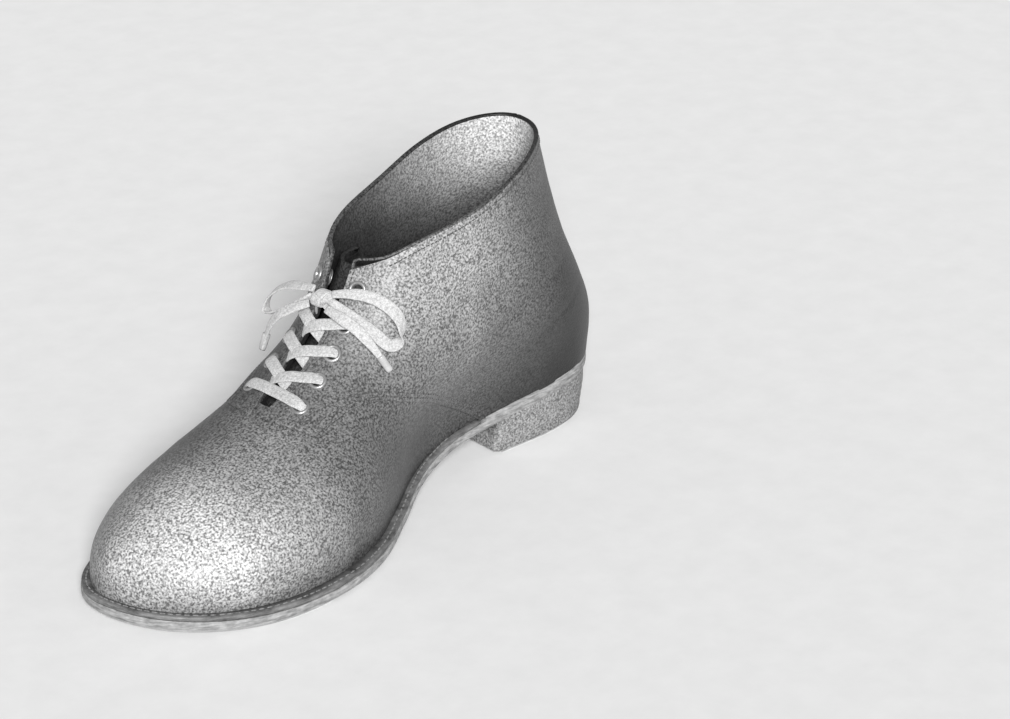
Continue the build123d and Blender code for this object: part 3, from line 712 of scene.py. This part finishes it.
def make_camera():
    """The picture's viewpoint, with the boot at the left of the frame."""
    azimuth, elevation = math.radians(133.31), math.radians(24.75)
    distance, focal = 1481.7, 3689.4
    width, height = 1010.0, 719.0
    centre_x, centre_y = 343.4, 388.4
    away = Vector((
        math.sin(azimuth) * math.cos(elevation), -math.cos(azimuth) * math.cos(elevation), math.sin(elevation)
    ))
    right = Vector((math.cos(azimuth), math.sin(azimuth), 0.0))
    up = away.cross(right)
    target = Vector((7.0, 0.0, 50.0)) - ORIGIN
    eye = target + away * distance
    shift_right = (width / 2 - centre_x) / focal * distance
    shift_up = (centre_y - height / 2) / focal * distance
    aim = target + right * shift_right + up * shift_up
    data = bpy.data.cameras.new("camera")
    data.sensor_width = 36.0
    data.lens = focal * data.sensor_width / width
    data.clip_start, data.clip_end = 0.05, 20.0
    camera = link(bpy.data.objects.new("camera", data))
    camera.location = eye * MM
    camera.rotation_mode = "QUATERNION"
    camera.rotation_quaternion = (aim - eye).to_track_quat("-Z", "Y")
    bpy.context.scene.camera = camera


make_camera()

# ---- The bow: free runs of the lace ----

LOOP_MEDIAL = [
    (17.7, 4.7, 97.2), (14.2, 12, 98.9), (8.7, 21.3, 97), (4.8, 29.6, 90.2), (5.6, 31, 81),
    (10.9, 28.4, 78.5), (14.2, 21.9, 86.6), (19.1, 4.7, 95.0),
]
LOOP_LATERAL = [
    (17.7, -4.7, 97.2), (18, -13, 96.5), (18, -22, 94), (19.8, -28.5, 88), (22, -28.5, 81), (22.5, -19, 84.5),
    (19.1, -4.7, 95.0),
]
END_MEDIAL = [(21, 4.7, 92), (21.8, 12.5, 91), (19.2, 20.5, 86.5), (15.6, 27.2, 77.2), (13.4, 31, 70.8)]
END_LATERAL = [(21, -4.7, 92), (26.2, -14, 88.3), (26.6, -21, 81), (25.8, -24.3, 74), (26.5, -26, 68)]
LACE_W = 5.0
LACE_T = 0.9
END_WIDTHS = [(0.0, 3.4), (0.2, 4.8), (0.6, 4.4), (0.85, 2.6), (1.0, 2.4)]


def nurbs_line(name, route):
    """The smooth line that a route's points control, as points in millimetres."""
    data = bpy.data.curves.new(name + "_route", "CURVE")
    data.dimensions = "3D"
    data.resolution_u = 14
    spline = data.splines.new("NURBS")
    spline.points.add(len(route) - 1)
    for point, place in zip(spline.points, route):
        point.co = (*real(place), 1.0)
    spline.order_u = 3
    spline.use_endpoint_u = True
    holder = link(bpy.data.objects.new(name + "_route", data))
    mesh = bpy.data.meshes.new_from_object(holder)
    line = [v.co / MM + ORIGIN for v in mesh.vertices]
    bpy.data.objects.remove(holder, do_unlink=True)
    bpy.data.meshes.remove(mesh)
    return line


def line_length(line):
    return sum((b - a).length for a, b in zip(line, line[1:]))


def spread(values, count):
    """Values at count places, between the stations given as (share, value)."""
    out = []
    for i in range(count):
        share = i / (count - 1)
        k = next((n for n in range(len(values) - 1) if share <= values[n + 1][0]), len(values) - 2)
        (s0, v0), (s1, v1) = values[k], values[k + 1]
        f = (share - s0) / (s1 - s0) if s1 > s0 else 0.0
        out.append(v0 + (v1 - v0) * min(max(f, 0.0), 1.0))
    return out


def free_lace(name, route, normals, widths, node):
    line = nurbs_line(name, route)
    facing = [n.normalized() for n in spread([(s, Vector(v)) for s, v in normals], len(line))]
    wide = spread(widths, len(line))
    thick = [LACE_T * min(1.6, LACE_W / w) for w in wide]
    obj = ribbon(name, line, facing, wide, thick)
    paint(obj, "lace", node)
    tuple(real(route[0]))
    line_length(line) * MM
    [tuple(real(p)) for p in line]
    return obj


def aglet(name, route, node):
    """The tag crimped round the lace's end."""
    tip, before = Vector(route[-1]), Vector(route[-2])
    along = (tip - before).normalized()
    start = tip - along * 7.0
    path = [start + along * (7.4 * i / 10) for i in range(11)]
    widths = [3.1, 3.3, 3.3, 3.2, 3.1, 3.1, 3.1, 3.1, 3.0, 2.9, 2.5]
    thicks = [2.3, 2.5, 2.5, 2.4, 2.3, 2.3, 2.3, 2.3, 2.3, 2.2, 1.7]
    obj = ribbon(name, path, [Vector((0.66, 0.5, 0.5))] * 11, widths, thicks, 20, 0.9)
    return paint(obj, "tag", node)


def make_bow():
    free_lace(
        "bow_loop_medial_band", LOOP_MEDIAL,
        [(0.0, (0.5, 0.35, 0.8)), (0.3, (0.5, 0.75, 0.45)), (0.52, (-0.2, 0.9, -0.2)),
         (0.66, (-0.6, -0.5, -0.6)), (1.0, (-0.6, -0.5, -0.6))],
        [(0.0, 3.2), (0.12, 4.8), (0.4, 5.4), (0.85, 5.0), (1.0, 3.2)], "bow_loop_medial",
    )
    free_lace(
        "bow_loop_lateral_band", LOOP_LATERAL,
        [(0.0, (0.7, -0.1, 0.7)), (0.3, (0.3, -0.25, 0.9)), (0.5, (0.35, -0.9, 0.1)),
         (0.7, (0.2, -0.2, -0.95)), (1.0, (0.5, 0.2, -0.8))],
        [(0.0, 3.0), (0.15, 4.8), (0.5, 5.0), (0.85, 4.8), (1.0, 3.0)], "bow_loop_lateral",
    )
    medial_tag = aglet("aglet_medial_shell", END_MEDIAL, "aglet_medial")
    lateral_tag = aglet("aglet_lateral_shell", END_LATERAL, "aglet_lateral")
    free_lace(
        "lace_end_medial_band", END_MEDIAL, [(0.0, (0.7, 0.4, 0.6)), (1.0, (0.6, 0.75, 0.3))],
        END_WIDTHS, "lace_end_medial",
    )
    free_lace(
        "lace_end_lateral_band", END_LATERAL, [(0.0, (0.8, -0.1, 0.6)), (1.0, (0.75, -0.55, 0.3))],
        END_WIDTHS, "lace_end_lateral",
    )


make_bow()

# ---- The laced part and the knot ----


def strap_path(start, end, normal, levels, parts=40):
    """Points and normals of a lace between two places, at levels above the skin given by share of the way."""
    along = (end - start).normalized()
    upright = (normal - along * normal.dot(along)).normalized()
    long = (end - start).length
    line, ups = [], []
    first, last = levels[0][0], levels[-1][0]
    for i in range(parts + 1):
        share = first + (last - first) * i / parts
        place = start + along * (long * share)
        surface = solve(lambda up: is_inside(place + upright * up), -12.0, 14.0)
        height = through(levels, share)
        line.append(place + upright * (surface + height))
        ups.append(upright)
    return line, ups


def knot_centre():
    return Vector((ridge_x(KNOT_HEIGHT), 0, KNOT_HEIGHT))


KNOT_HEIGHT = 93.0
KNOT_N = Vector((0.84, 0, 0.54)).normalized()  # out from the instep, and up along it
KNOT_T = Vector((-0.54, 0, 0.84)).normalized()
STRAP_T = LACE_T * 1.15
OVER = 1.25  # levels of a strand above and under the leather
UNDER = -4.9


def strap(start, end, normal, levels, widths):
    """One strand of the laced part, still to be joined with the others."""
    line, ups = strap_path(start, end, normal, levels)
    return ribbon("strap", line, ups, spread(widths, len(line)), [STRAP_T] * len(line), body=None)


def make_straps():
    """The base bar, then crossings from under one facing that lie over the other and turn into its eyelet."""
    rows = {side: [skin_at(z, side * y) for z, y in ROWS] for side in (1, -1)}
    dive = [(-0.13, -1.2), (-0.06, 0.6), (0.03, OVER + 0.15), (0.3, OVER), (0.5, 0.9), (0.7, OVER),
            (0.97, OVER + 0.15), (1.06, 0.6), (1.13, -1.2)]
    widths = [(0, 2.8), (0.08, 3.9), (0.16, 5.2), (0.84, 5.2), (0.92, 3.9), (1, 2.8)]
    parts = [strap(rows[1][0][0], rows[-1][0][0], rows[1][0][1] + rows[-1][0][1], dive, widths)]
    widths = [(0, 4.2), (0.2, 4.8), (0.5, 5.1), (0.84, 5.2), (0.93, 4.0), (1, 2.6)]
    for k in range(LACED_ROWS - 1):
        for side, lift, early in ((1, 0.0, 0.0), (-1, 1.25, 0.07)):
            start, start_normal = rows[side][k]
            end, end_normal = rows[-side][k + 1]
            rising = [
                (0.0, UNDER), (0.22 - early, -4.4), (0.36 - early, -2.2 + lift), (0.5 - early, -0.4 + lift),
                (0.64, 1.0 + lift * 0.6), (0.8, OVER + 0.1), (0.96, OVER + 0.2), (1.05, 0.6), (1.12, -1.4),
            ]
            parts.append(strap(start, end, start_normal + end_normal, rising, widths))
    for side in (1, -1):
        start, start_normal = rows[side][LACED_ROWS - 1]
        end = knot_centre() + Vector((0, side * 1.6, 0)) + KNOT_T * -2.0
        climb = [(0.0, UNDER), (0.3, -4.3), (0.55, -2.0), (0.8, 0.4), (1.0, 2.4)]
        widths = [(0, 4.4), (0.5, 4.8), (1, 3.2)]
        parts.append(strap(start, end, start_normal + Vector((1, 0, 0.8)), climb, widths))
    paint(join("laced_lace", parts), "lace", "lace")


def make_knot():
    """A tight half-hitch: a slanting wrap over a core, with the strands drawn in at both sides."""
    centre = knot_centre() + KNOT_N * 3.6
    side = Vector((0, 1, 0))
    parts = []
    count = 40
    line, ups = [], []
    for i in range(count + 1):
        a = 2 * math.pi * i / count
        lean = 1.3 * math.sin(a)
        place = centre + KNOT_T * (3.3 * math.sin(a)) + KNOT_N * (2.6 * math.cos(a)) + side * (lean + 0.3)
        line.append(place)
        ups.append((KNOT_T * math.sin(a) / 3.3 + KNOT_N * math.cos(a) / 2.6).normalized())
    parts.append(ribbon("wrap", line, ups, [4.9] * len(line), [1.15] * len(line), body=None))
    core, core_ups = [], []
    for i in range(25):
        s = i / 24 * 2 - 1
        core.append(centre + side * (4.9 * s) + KNOT_T * (0.9 * math.sin(3 * s)) - KNOT_N * 0.2)
        core_ups.append(KNOT_N)
    fat = spread([(0, 3.6), (0.25, 5.4), (0.5, 5.6), (0.75, 5.4), (1, 3.6)], 25)
    deep = spread([(0, 2.6), (0.25, 3.6), (0.5, 4.0), (0.75, 3.6), (1, 2.6)], 25)
    parts.append(ribbon("core", core, core_ups, fat, deep, 18, 0.8, body=None))
    paint(join("knot_wrap", parts), "lace", "lace_knot")


make_straps()
make_knot()

# ---- Eyelets ----


def make_eyelets():
    """Flanged rings with a rolled edge and a barrel through the leather."""
    profile = [
        (2.15, -4.6), (2.15, -0.2), (2.3, 0.35), (2.7, 0.72), (3.2, 0.8), (3.65, 0.55), (3.85, 0.1),
        (3.75, -0.12), (3.0, 0.05), (2.5, -0.3), (2.45, -4.3), (2.9, -4.5), (3.5, -4.55), (3.5, -4.9),
        (2.7, -4.95),
    ]
    for side, name in ((1, "eyelets_medial"), (-1, "eyelets_lateral")):
        rings = []
        for z, y in ROWS:
            place, normal = skin_at(z, side * y)
            rings.append(lathe("ring", place, normal, profile))
        paint(join(name + "_rings", rings), "eyelet", name)


make_eyelets()

# ---- Upper ----


def soft_relief(p, normal):
    """Slight unevenness of leather pulled over a last, with soft creases at the ankle and instep."""
    broad = noise.noise(p * 0.022) * 0.5
    small = noise.noise(p * 0.09 + Vector((7, 3, 1))) * 0.14
    ankle = 0.0
    if -120 < p.x < 10 and 35 < p.z < 112:
        weight = step_up((p.x + 120) / 50) * step_up((10 - p.x) / 60)
        weight *= step_up((p.z - 35) / 25) * step_up((112 - p.z) / 20)
        line = p.z + 0.35 * p.x + 6 * noise.noise(p * 0.03)
        ankle = -0.45 * weight * max(0.0, math.cos(line * 0.26)) ** 4
    return broad * 0.6 + small + ankle


def eyelet_hollow(x, y, z):
    """Distance outside the nearest eyelet's hole."""
    here = Vector((x, y, z))
    return min((here - place).length for place in EYELET_PLACES) - EYELET_HOLE


EYELET_PLACES = [skin_at(z, side * y)[0] for z, y in ROWS for side in (1, -1)]
EYELET_HOLE = 2.3


def quarter_keep(side):
    def keep(x, y, z):
        values = (topline(x) - z, behind_seam(x, z), z - sole(x, UPPER_BOTTOM - 0.6), beside_gap(x, y),
                  side * (y - swing(x)))
        value = min(values)
        if x > 0 and z > 55 and value > -3:
            value = min(value, eyelet_hollow(x, y, z))
        return value
    return keep


def vamp_keep(x, y, z):
    value = min(z - sole(x, UPPER_BOTTOM - 0.6), 6.0 - behind_seam(x, z))
    if x < 52:
        value = min(value, abs(y) - 7.0)
    return value


def lining_keep(x, y, z):
    above = z - sole(x, UPPER_BOTTOM + 1.5)
    return min(topline(x) - 0.5 - z, above, beside_gap(x, y), behind_seam(x, z) - 1.5)


def near_top(x, z, reach):
    """1 at the collar's edge, falling to 0 at the reach below it."""
    return step_up(1 - (topline(x) - z) / reach) * step_up((16 - x) / 8)


def make_upper():
    for side, node in ((1, "quarter_medial"), (-1, "quarter_lateral")):
        mesh = sheet_grid(node + "_leather", quarter_keep(side), 0.0, (1.0, 16.0), 150, 300, soft_relief)
        face_out(mesh)
        quarter = thicken(
            new_object(node + "_leather", mesh), QUARTER_T,
            skive=lambda x, z: 1 - 0.45 * near_top(x, z, 8.0),
        )
        paint(quarter, "upper", node)
    mesh = sheet_grid("vamp_leather", vamp_keep, VAMP_OUT, (0.0, 11.5), 130, 300, soft_relief)
    face_out(mesh)
    vamp = thicken(new_object("vamp_leather", mesh), VAMP_T)
    paint(vamp, "upper", "vamp")
    mesh = sheet_grid(
        "quarter_lining_leather", lining_keep, LINING_OUT, (1.0, 16.0), 100, 220,
        lambda p, normal: 0.8 * near_top(p.x, p.z, 10.0),
    )
    face_out(mesh)
    lining = thicken(
        new_object("quarter_lining_leather", mesh), LINING_T, 0.3,
        skive=lambda x, z: 1 - 0.58 * near_top(x, z, 25.0),
    )
    paint(lining, "lining", "quarter_lining")


make_upper()


def make_tongue():
    """A padded strip under the facings with a rounded top that leans a little towards the leg."""
    rows, columns = 60, 24
    points = []
    for i in range(rows + 1):
        share = i / rows
        z = TONGUE_FOOT + (TONGUE_TOP - TONGUE_FOOT) * share
        half = through([(0, 13), (0.3, 19), (0.6, 22), (0.85, 22), (1.0, 16)], share)
        for j in range(columns + 1):
            s = j / columns * 2 - 1
            y = s * half
            drop = 3.0 * abs(s) ** 3 * step_up((share - 0.8) / 0.2)
            point, normal = skin_at(z - drop, y if abs(y) > 0.05 else 0.05, TONGUE_OUT)
            fold = 0.5 * math.exp(-((abs(y) - 5) / 1.6) ** 2) + 0.4 * noise.noise(point * 0.07)
            points.append(point + normal * fold)
    faces = []
    for i in range(rows):
        for j in range(columns):
            a = i * (columns + 1) + j
            faces.append((a, a + 1, a + columns + 2, a + columns + 1))
    mesh = consistent(mesh_of("tongue_leather", points, faces))
    face_out(mesh)
    tongue = thicken(new_object("tongue_leather", mesh, "tongue"), TONGUE_T, 0.6)
    paint(tongue, "tongue", "tongue")


make_tongue()


COLLAR_FRONT = 3.5  # where the collar's edge ends in the side view, and the facing's heights
FACING_TOP = 109.5
FACING_FOOT = 58.6
FACING_RIM_OUT = -1.2


def rim_line(side):
    """Along the collar from the back seam to the facing's corner, then down the facing to the throat."""
    start = solve(lambda at: at < back(topline(at), RIM_OUT), -125.0, -90.0)
    line = [Vector((start, swing(start), topline(start)))]
    ups = [Vector((-1, 0, 0))]
    for i in range(1, 90):
        x = start + (COLLAR_FRONT - start) * (i / 89) ** 2
        z = topline(x)
        point, normal = on_skin(x, z, side, RIM_OUT)
        line.append(point)
        ups.append(normal)
    for i in range(46):
        z = FACING_TOP + (FACING_FOOT - FACING_TOP) * i / 45
        y = gap_half(ridge_x(z, FACING_RIM_OUT)) + 0.1
        point, normal = skin_at(z, side * y, FACING_RIM_OUT)
        line.append(point)
        ups.append(normal)
    return line, ups


def make_rim():
    """The folded and burnished edge round the collar and down both facings."""
    parts = []
    for side in (1, -1):
        line, ups = rim_line(side)
        smooth = [line[0]]
        for before, at, after in zip(line, line[1:], line[2:]):
            smooth.append((before + at * 2 + after) / 4)
        smooth.append(line[-1])
        wide = spread([(0, 1.1), (0.7, 1.2), (1, 1.1)], len(smooth))
        thick = spread([(0, 1.95), (0.62, 2.0), (0.72, 2.0), (1, 1.8)], len(smooth))
        parts.append(ribbon("rim", smooth, ups, wide, thick, 12, 0.8, body=None))
    paint(join("collar_binding", parts), "binding")


make_rim()

# ---- Stitching ----


def stitches(name, lines, long, pitch, key, radius=0.32):
    """Short raised stitches along lines of (point, normal)."""
    points, faces = [], []
    sides = 6
    for line in lines:
        travelled = 0.0
        for (a, normal), (b, _) in zip(line, line[1:]):
            step = (b - a).length
            travelled += step
            if travelled < pitch:
                continue
            travelled = 0.0
            along = (b - a).normalized()
            across = along.cross(normal)
            base = len(points)
            for end, size in ((-0.5, 0.55), (-0.3, 1.0), (0.3, 1.0), (0.5, 0.55)):
                for k in range(sides):
                    angle = 2 * math.pi * k / sides
                    spin = across * math.cos(angle) + normal * (math.sin(angle) * 0.8)
                    middle = a + along * (end * long) + normal * (radius * 0.35)
                    points.append(middle + spin * (radius * size))
            faces += tube_faces(4, sides, base)
    obj = new_object(name, mesh_of(name, points, faces))
    return paint(obj, key)


def seam_row(side, inset):
    """A stitch line a little inside the derby seam."""
    line = []
    route = dense(SEAM[1:], 40)
    for a, b in zip(route, route[1:]):
        run = b - a
        if run.length < 1e-6:
            continue
        square = Vector((run.y, -run.x)).normalized() * inset
        x, z = a.x + square.x, a.y + square.y
        if z > ridge(x, 0) - 0.5 or z < sole(x, UPPER_BOTTOM + 1):
            continue
        if behind_seam(x, z) < inset * 0.9:
            continue
        line.append(on_skin(x, z, side))
    return line


def facing_row(side, inset):
    line = []
    low, high = 59.5, 106.0
    for i in range(260):
        z = high - (high - low) * i / 259
        line.append(skin_at(z, side * (gap_half(ridge_x(z)) + inset)))
    return line


def collar_row(side, drop):
    line = []
    rear, front = -108, 2
    for i in range(500):
        x = rear + (front - rear) * i / 499
        z = topline(x) - drop
        if x > back(z, 0) + 0.4:
            line.append(on_skin(x, z, side))
    return line


def make_stitching():
    lines = []
    for side in (1, -1):
        lines += [seam_row(side, 1.6), seam_row(side, 3.4), facing_row(side, 1.9), collar_row(side, 2.6)]
    stitches("upper_stitching", lines, 1.5, 2.0, "thread", 0.26)


make_stitching()

# ---- Sole and heel ----


def outline_point(edge, grow, turn):
    front = TOE_TIP + through(edge, 140) + grow
    rear = back(WIDEST, through(edge, -140) + grow)
    x = (front + rear) / 2 + (front - rear) / 2 * math.cos(turn)
    side = 1 if math.sin(turn) >= 0 else -1
    out = through(edge, x) + grow
    height = min(WIDEST, 0.4 * ridge(x, out))
    wide = max(half_width(x, height, side, out), 0.0) if abs(math.sin(turn)) > 1e-6 else 0.0
    return Vector((x, swing(x) + side * wide, 0.0))


def outline(edge, grow, count=220):
    return [outline_point(edge, grow, 2 * math.pi * i / count) for i in range(count)]


def inset_outline(points, inset):
    """The closed line moved inwards."""
    moved = []
    count = len(points)
    for i in range(count):
        along = points[(i + 1) % count] - points[i - 1]
        square = Vector((-along.y, along.x, 0)).normalized()
        moved.append(points[i] + square * inset)
    return moved


def cap_faces(points, ladder):
    """Faces over a closed line. A ladder goes straight across and follows a plate that curves lengthwise."""
    if not ladder:
        return [tuple(tri) for tri in geometry.tessellate_polygon([points])]
    count, half = len(points), len(points) // 2
    rungs = [(i, i + 1, count - i - 1, count - i) for i in range(1, half - 1)]
    return [(0, 1, count - 1), *rungs, (half - 1, half, half + 1)]


def slab(name, node, points, low, high, roundness, key, ladder=False):
    """A plate between two heights with a rounded edge, in place of a node."""
    steps = [(roundness * 1.6, 0.0), (roundness * 0.4, 0.0), (0.08 * roundness, 0.16), (0.0, 0.5),
             (0.08 * roundness, 0.84), (roundness * 0.4, 1.0), (roundness * 1.6, 1.0)]
    count = len(points)
    verts = []
    for inset, share in steps:
        for p in inset_outline(points, inset):
            z = low(p.x) + (high(p.x) - low(p.x)) * share
            verts.append(Vector((p.x, p.y, z)))
    flat = [Vector((p.x, p.y, 0)) for p in verts[:count]]
    cap = cap_faces(flat, ladder)
    top = (len(steps) - 1) * count
    faces = wall_faces(len(steps), count) + cap + [tuple(v + top for v in face) for face in cap]
    mesh = consistent(mesh_of(name, verts, faces), math.radians(38))
    paint(new_object(name, mesh), key, node)


def heel_outline(grow, breast, count=220):
    rear = [p for p in outline(NO_EDGE, grow, count) if p.x < breast]
    start, end = rear[0], rear[-1]
    arc = []
    for i in range(1, 24):
        s = i / 24
        y = end.y + (start.y - end.y) * s
        arc.append(Vector((breast - 3.0 * math.sin(math.pi * s) + 0.2, y, 0)))
    return rear + arc


def make_welt():
    """A strip round the forepart and waist, with its stitches on top."""
    count = 260
    section = [
        (6.2, 0.0), (0.5, 0.0), (0.08, 0.2), (0.0, 0.5), (0.08, 0.8), (0.45, 1.0), (1.5, 1.02), (6.2, 0.96),
    ]
    turns = [2 * math.pi * i / count for i in range(-count // 2, count // 2)]
    turns = [a for a in turns if outline_point(SOLE_EDGE, -0.3, a).x > -58]
    rings = []
    for a in turns:
        outer = outline_point(SOLE_EDGE, -0.3, a)
        ahead = outline_point(SOLE_EDGE, -0.3, a + 0.03) - outline_point(SOLE_EDGE, -0.3, a - 0.03)
        inward = Vector((-ahead.y, ahead.x, 0)).normalized()
        ring = []
        for inset, share in section:
            p = outer + inward * inset
            ring.append(Vector((p.x, p.y, sole(p.x, SOLE_T + WELT_T * share))))
        rings.append(ring)
    verts = [p for ring in rings for p in ring]
    mesh = consistent(mesh_of("welt_strip", verts, tube_faces(len(rings), len(section))))
    paint(new_object("welt_strip", mesh), "welt", "welt")
    row = []
    widest_turn = math.pi * 0.78
    for i in range(900):
        a = -widest_turn + 2 * widest_turn * i / 899
        outer = outline_point(SOLE_EDGE, -2.3, a)
        if outer.x > -40:
            row.append((Vector((outer.x, outer.y, sole(outer.x, UPPER_BOTTOM))), Vector((0, 0, 1))))
    stitches("welt_stitching", [row], 2.2, 3.0, "welt_thread", 0.34)


def make_bottom():
    slab(
        "outsole_plate", "outsole", outline(SOLE_EDGE, 0.0), sole, lambda x: sole(x, SOLE_T), 0.9,
        "outsole", ladder=True,
    )
    make_welt()
    for i, (lift, grow) in enumerate((("lower", -1.4), ("middle", -1.0), ("upper", -0.6))):
        low = TOP_PIECE_TOP + i * LIFT_T
        node = "heel_lift_" + lift
        slab(
            node + "_layer", node, heel_outline(grow, HEEL_BREAST + 0.6 * (i + 1)), lambda x, z=low: z,
            sole if lift == "upper" else (lambda x, z=low: z + LIFT_T), 0.28, "heel",
        )
    slab(
        "heel_top_piece_layer", "heel_top_piece", heel_outline(-1.8, HEEL_BREAST), lambda x: TAP_T,
        lambda x: TOP_PIECE_TOP, 0.5, "rubber",
    )


make_bottom()

# ---- CAD nodes whose shape is right keep their meshes ----

CARRIED = {
    "toe_tap": "tap", "heel_tap": "tap", "toe_tap_screws": "screw", "heel_tap_screws": "screw",
    "heel_nails": "screw", "shank": "screw", "cork_filler": "cork", "heel_seat": "outsole",
    "insole_board": "board", "sock_lining": "footbed", "heel_counter": "board", "toe_puff": "board",
    "vamp_lining": "footbed",
}
for node, key in CARRIED.items():
    paint(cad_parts[node], key)

# ---- Floor and light ----


KEY_TOWARD = (0.63, 0.65, 0.44)  # near the camera, so that the boot's outline falls dark
KEY_POWER = 5.0
KEY_SPREAD = 16.0  # degrees
SKY_POWER = 0.3


def key_light():
    """A broad far light."""
    data = bpy.data.lights.new("key", "SUN")
    data.energy = KEY_POWER
    data.angle = math.radians(KEY_SPREAD)
    lamp = link(bpy.data.objects.new("key", data))
    lamp.location = KEY_TOWARD
    lamp.rotation_mode = "QUATERNION"
    lamp.rotation_quaternion = (-Vector(KEY_TOWARD)).to_track_quat("-Z", "Y")


def make_stage():
    mesh = bpy.data.meshes.new("floor")
    half = 6.0
    corners = [(-half, -half, 0), (half, -half, 0), (half, half, 0), (-half, half, 0)]
    mesh.from_pydata(corners, [], [(0, 1, 2, 3)])
    floor = link(bpy.data.objects.new("floor", mesh))
    floor.data.materials.append(plain_floor_material())
    world = bpy.data.worlds.new("studio")
    world.use_nodes = True
    put(world.node_tree.nodes["Background"], {"Color": (*grey(0.92), 1.0), "Strength": SKY_POWER})
    bpy.context.scene.world = world
    key_light()
    bpy.context.scene.view_settings.view_transform = "Standard"


make_stage()
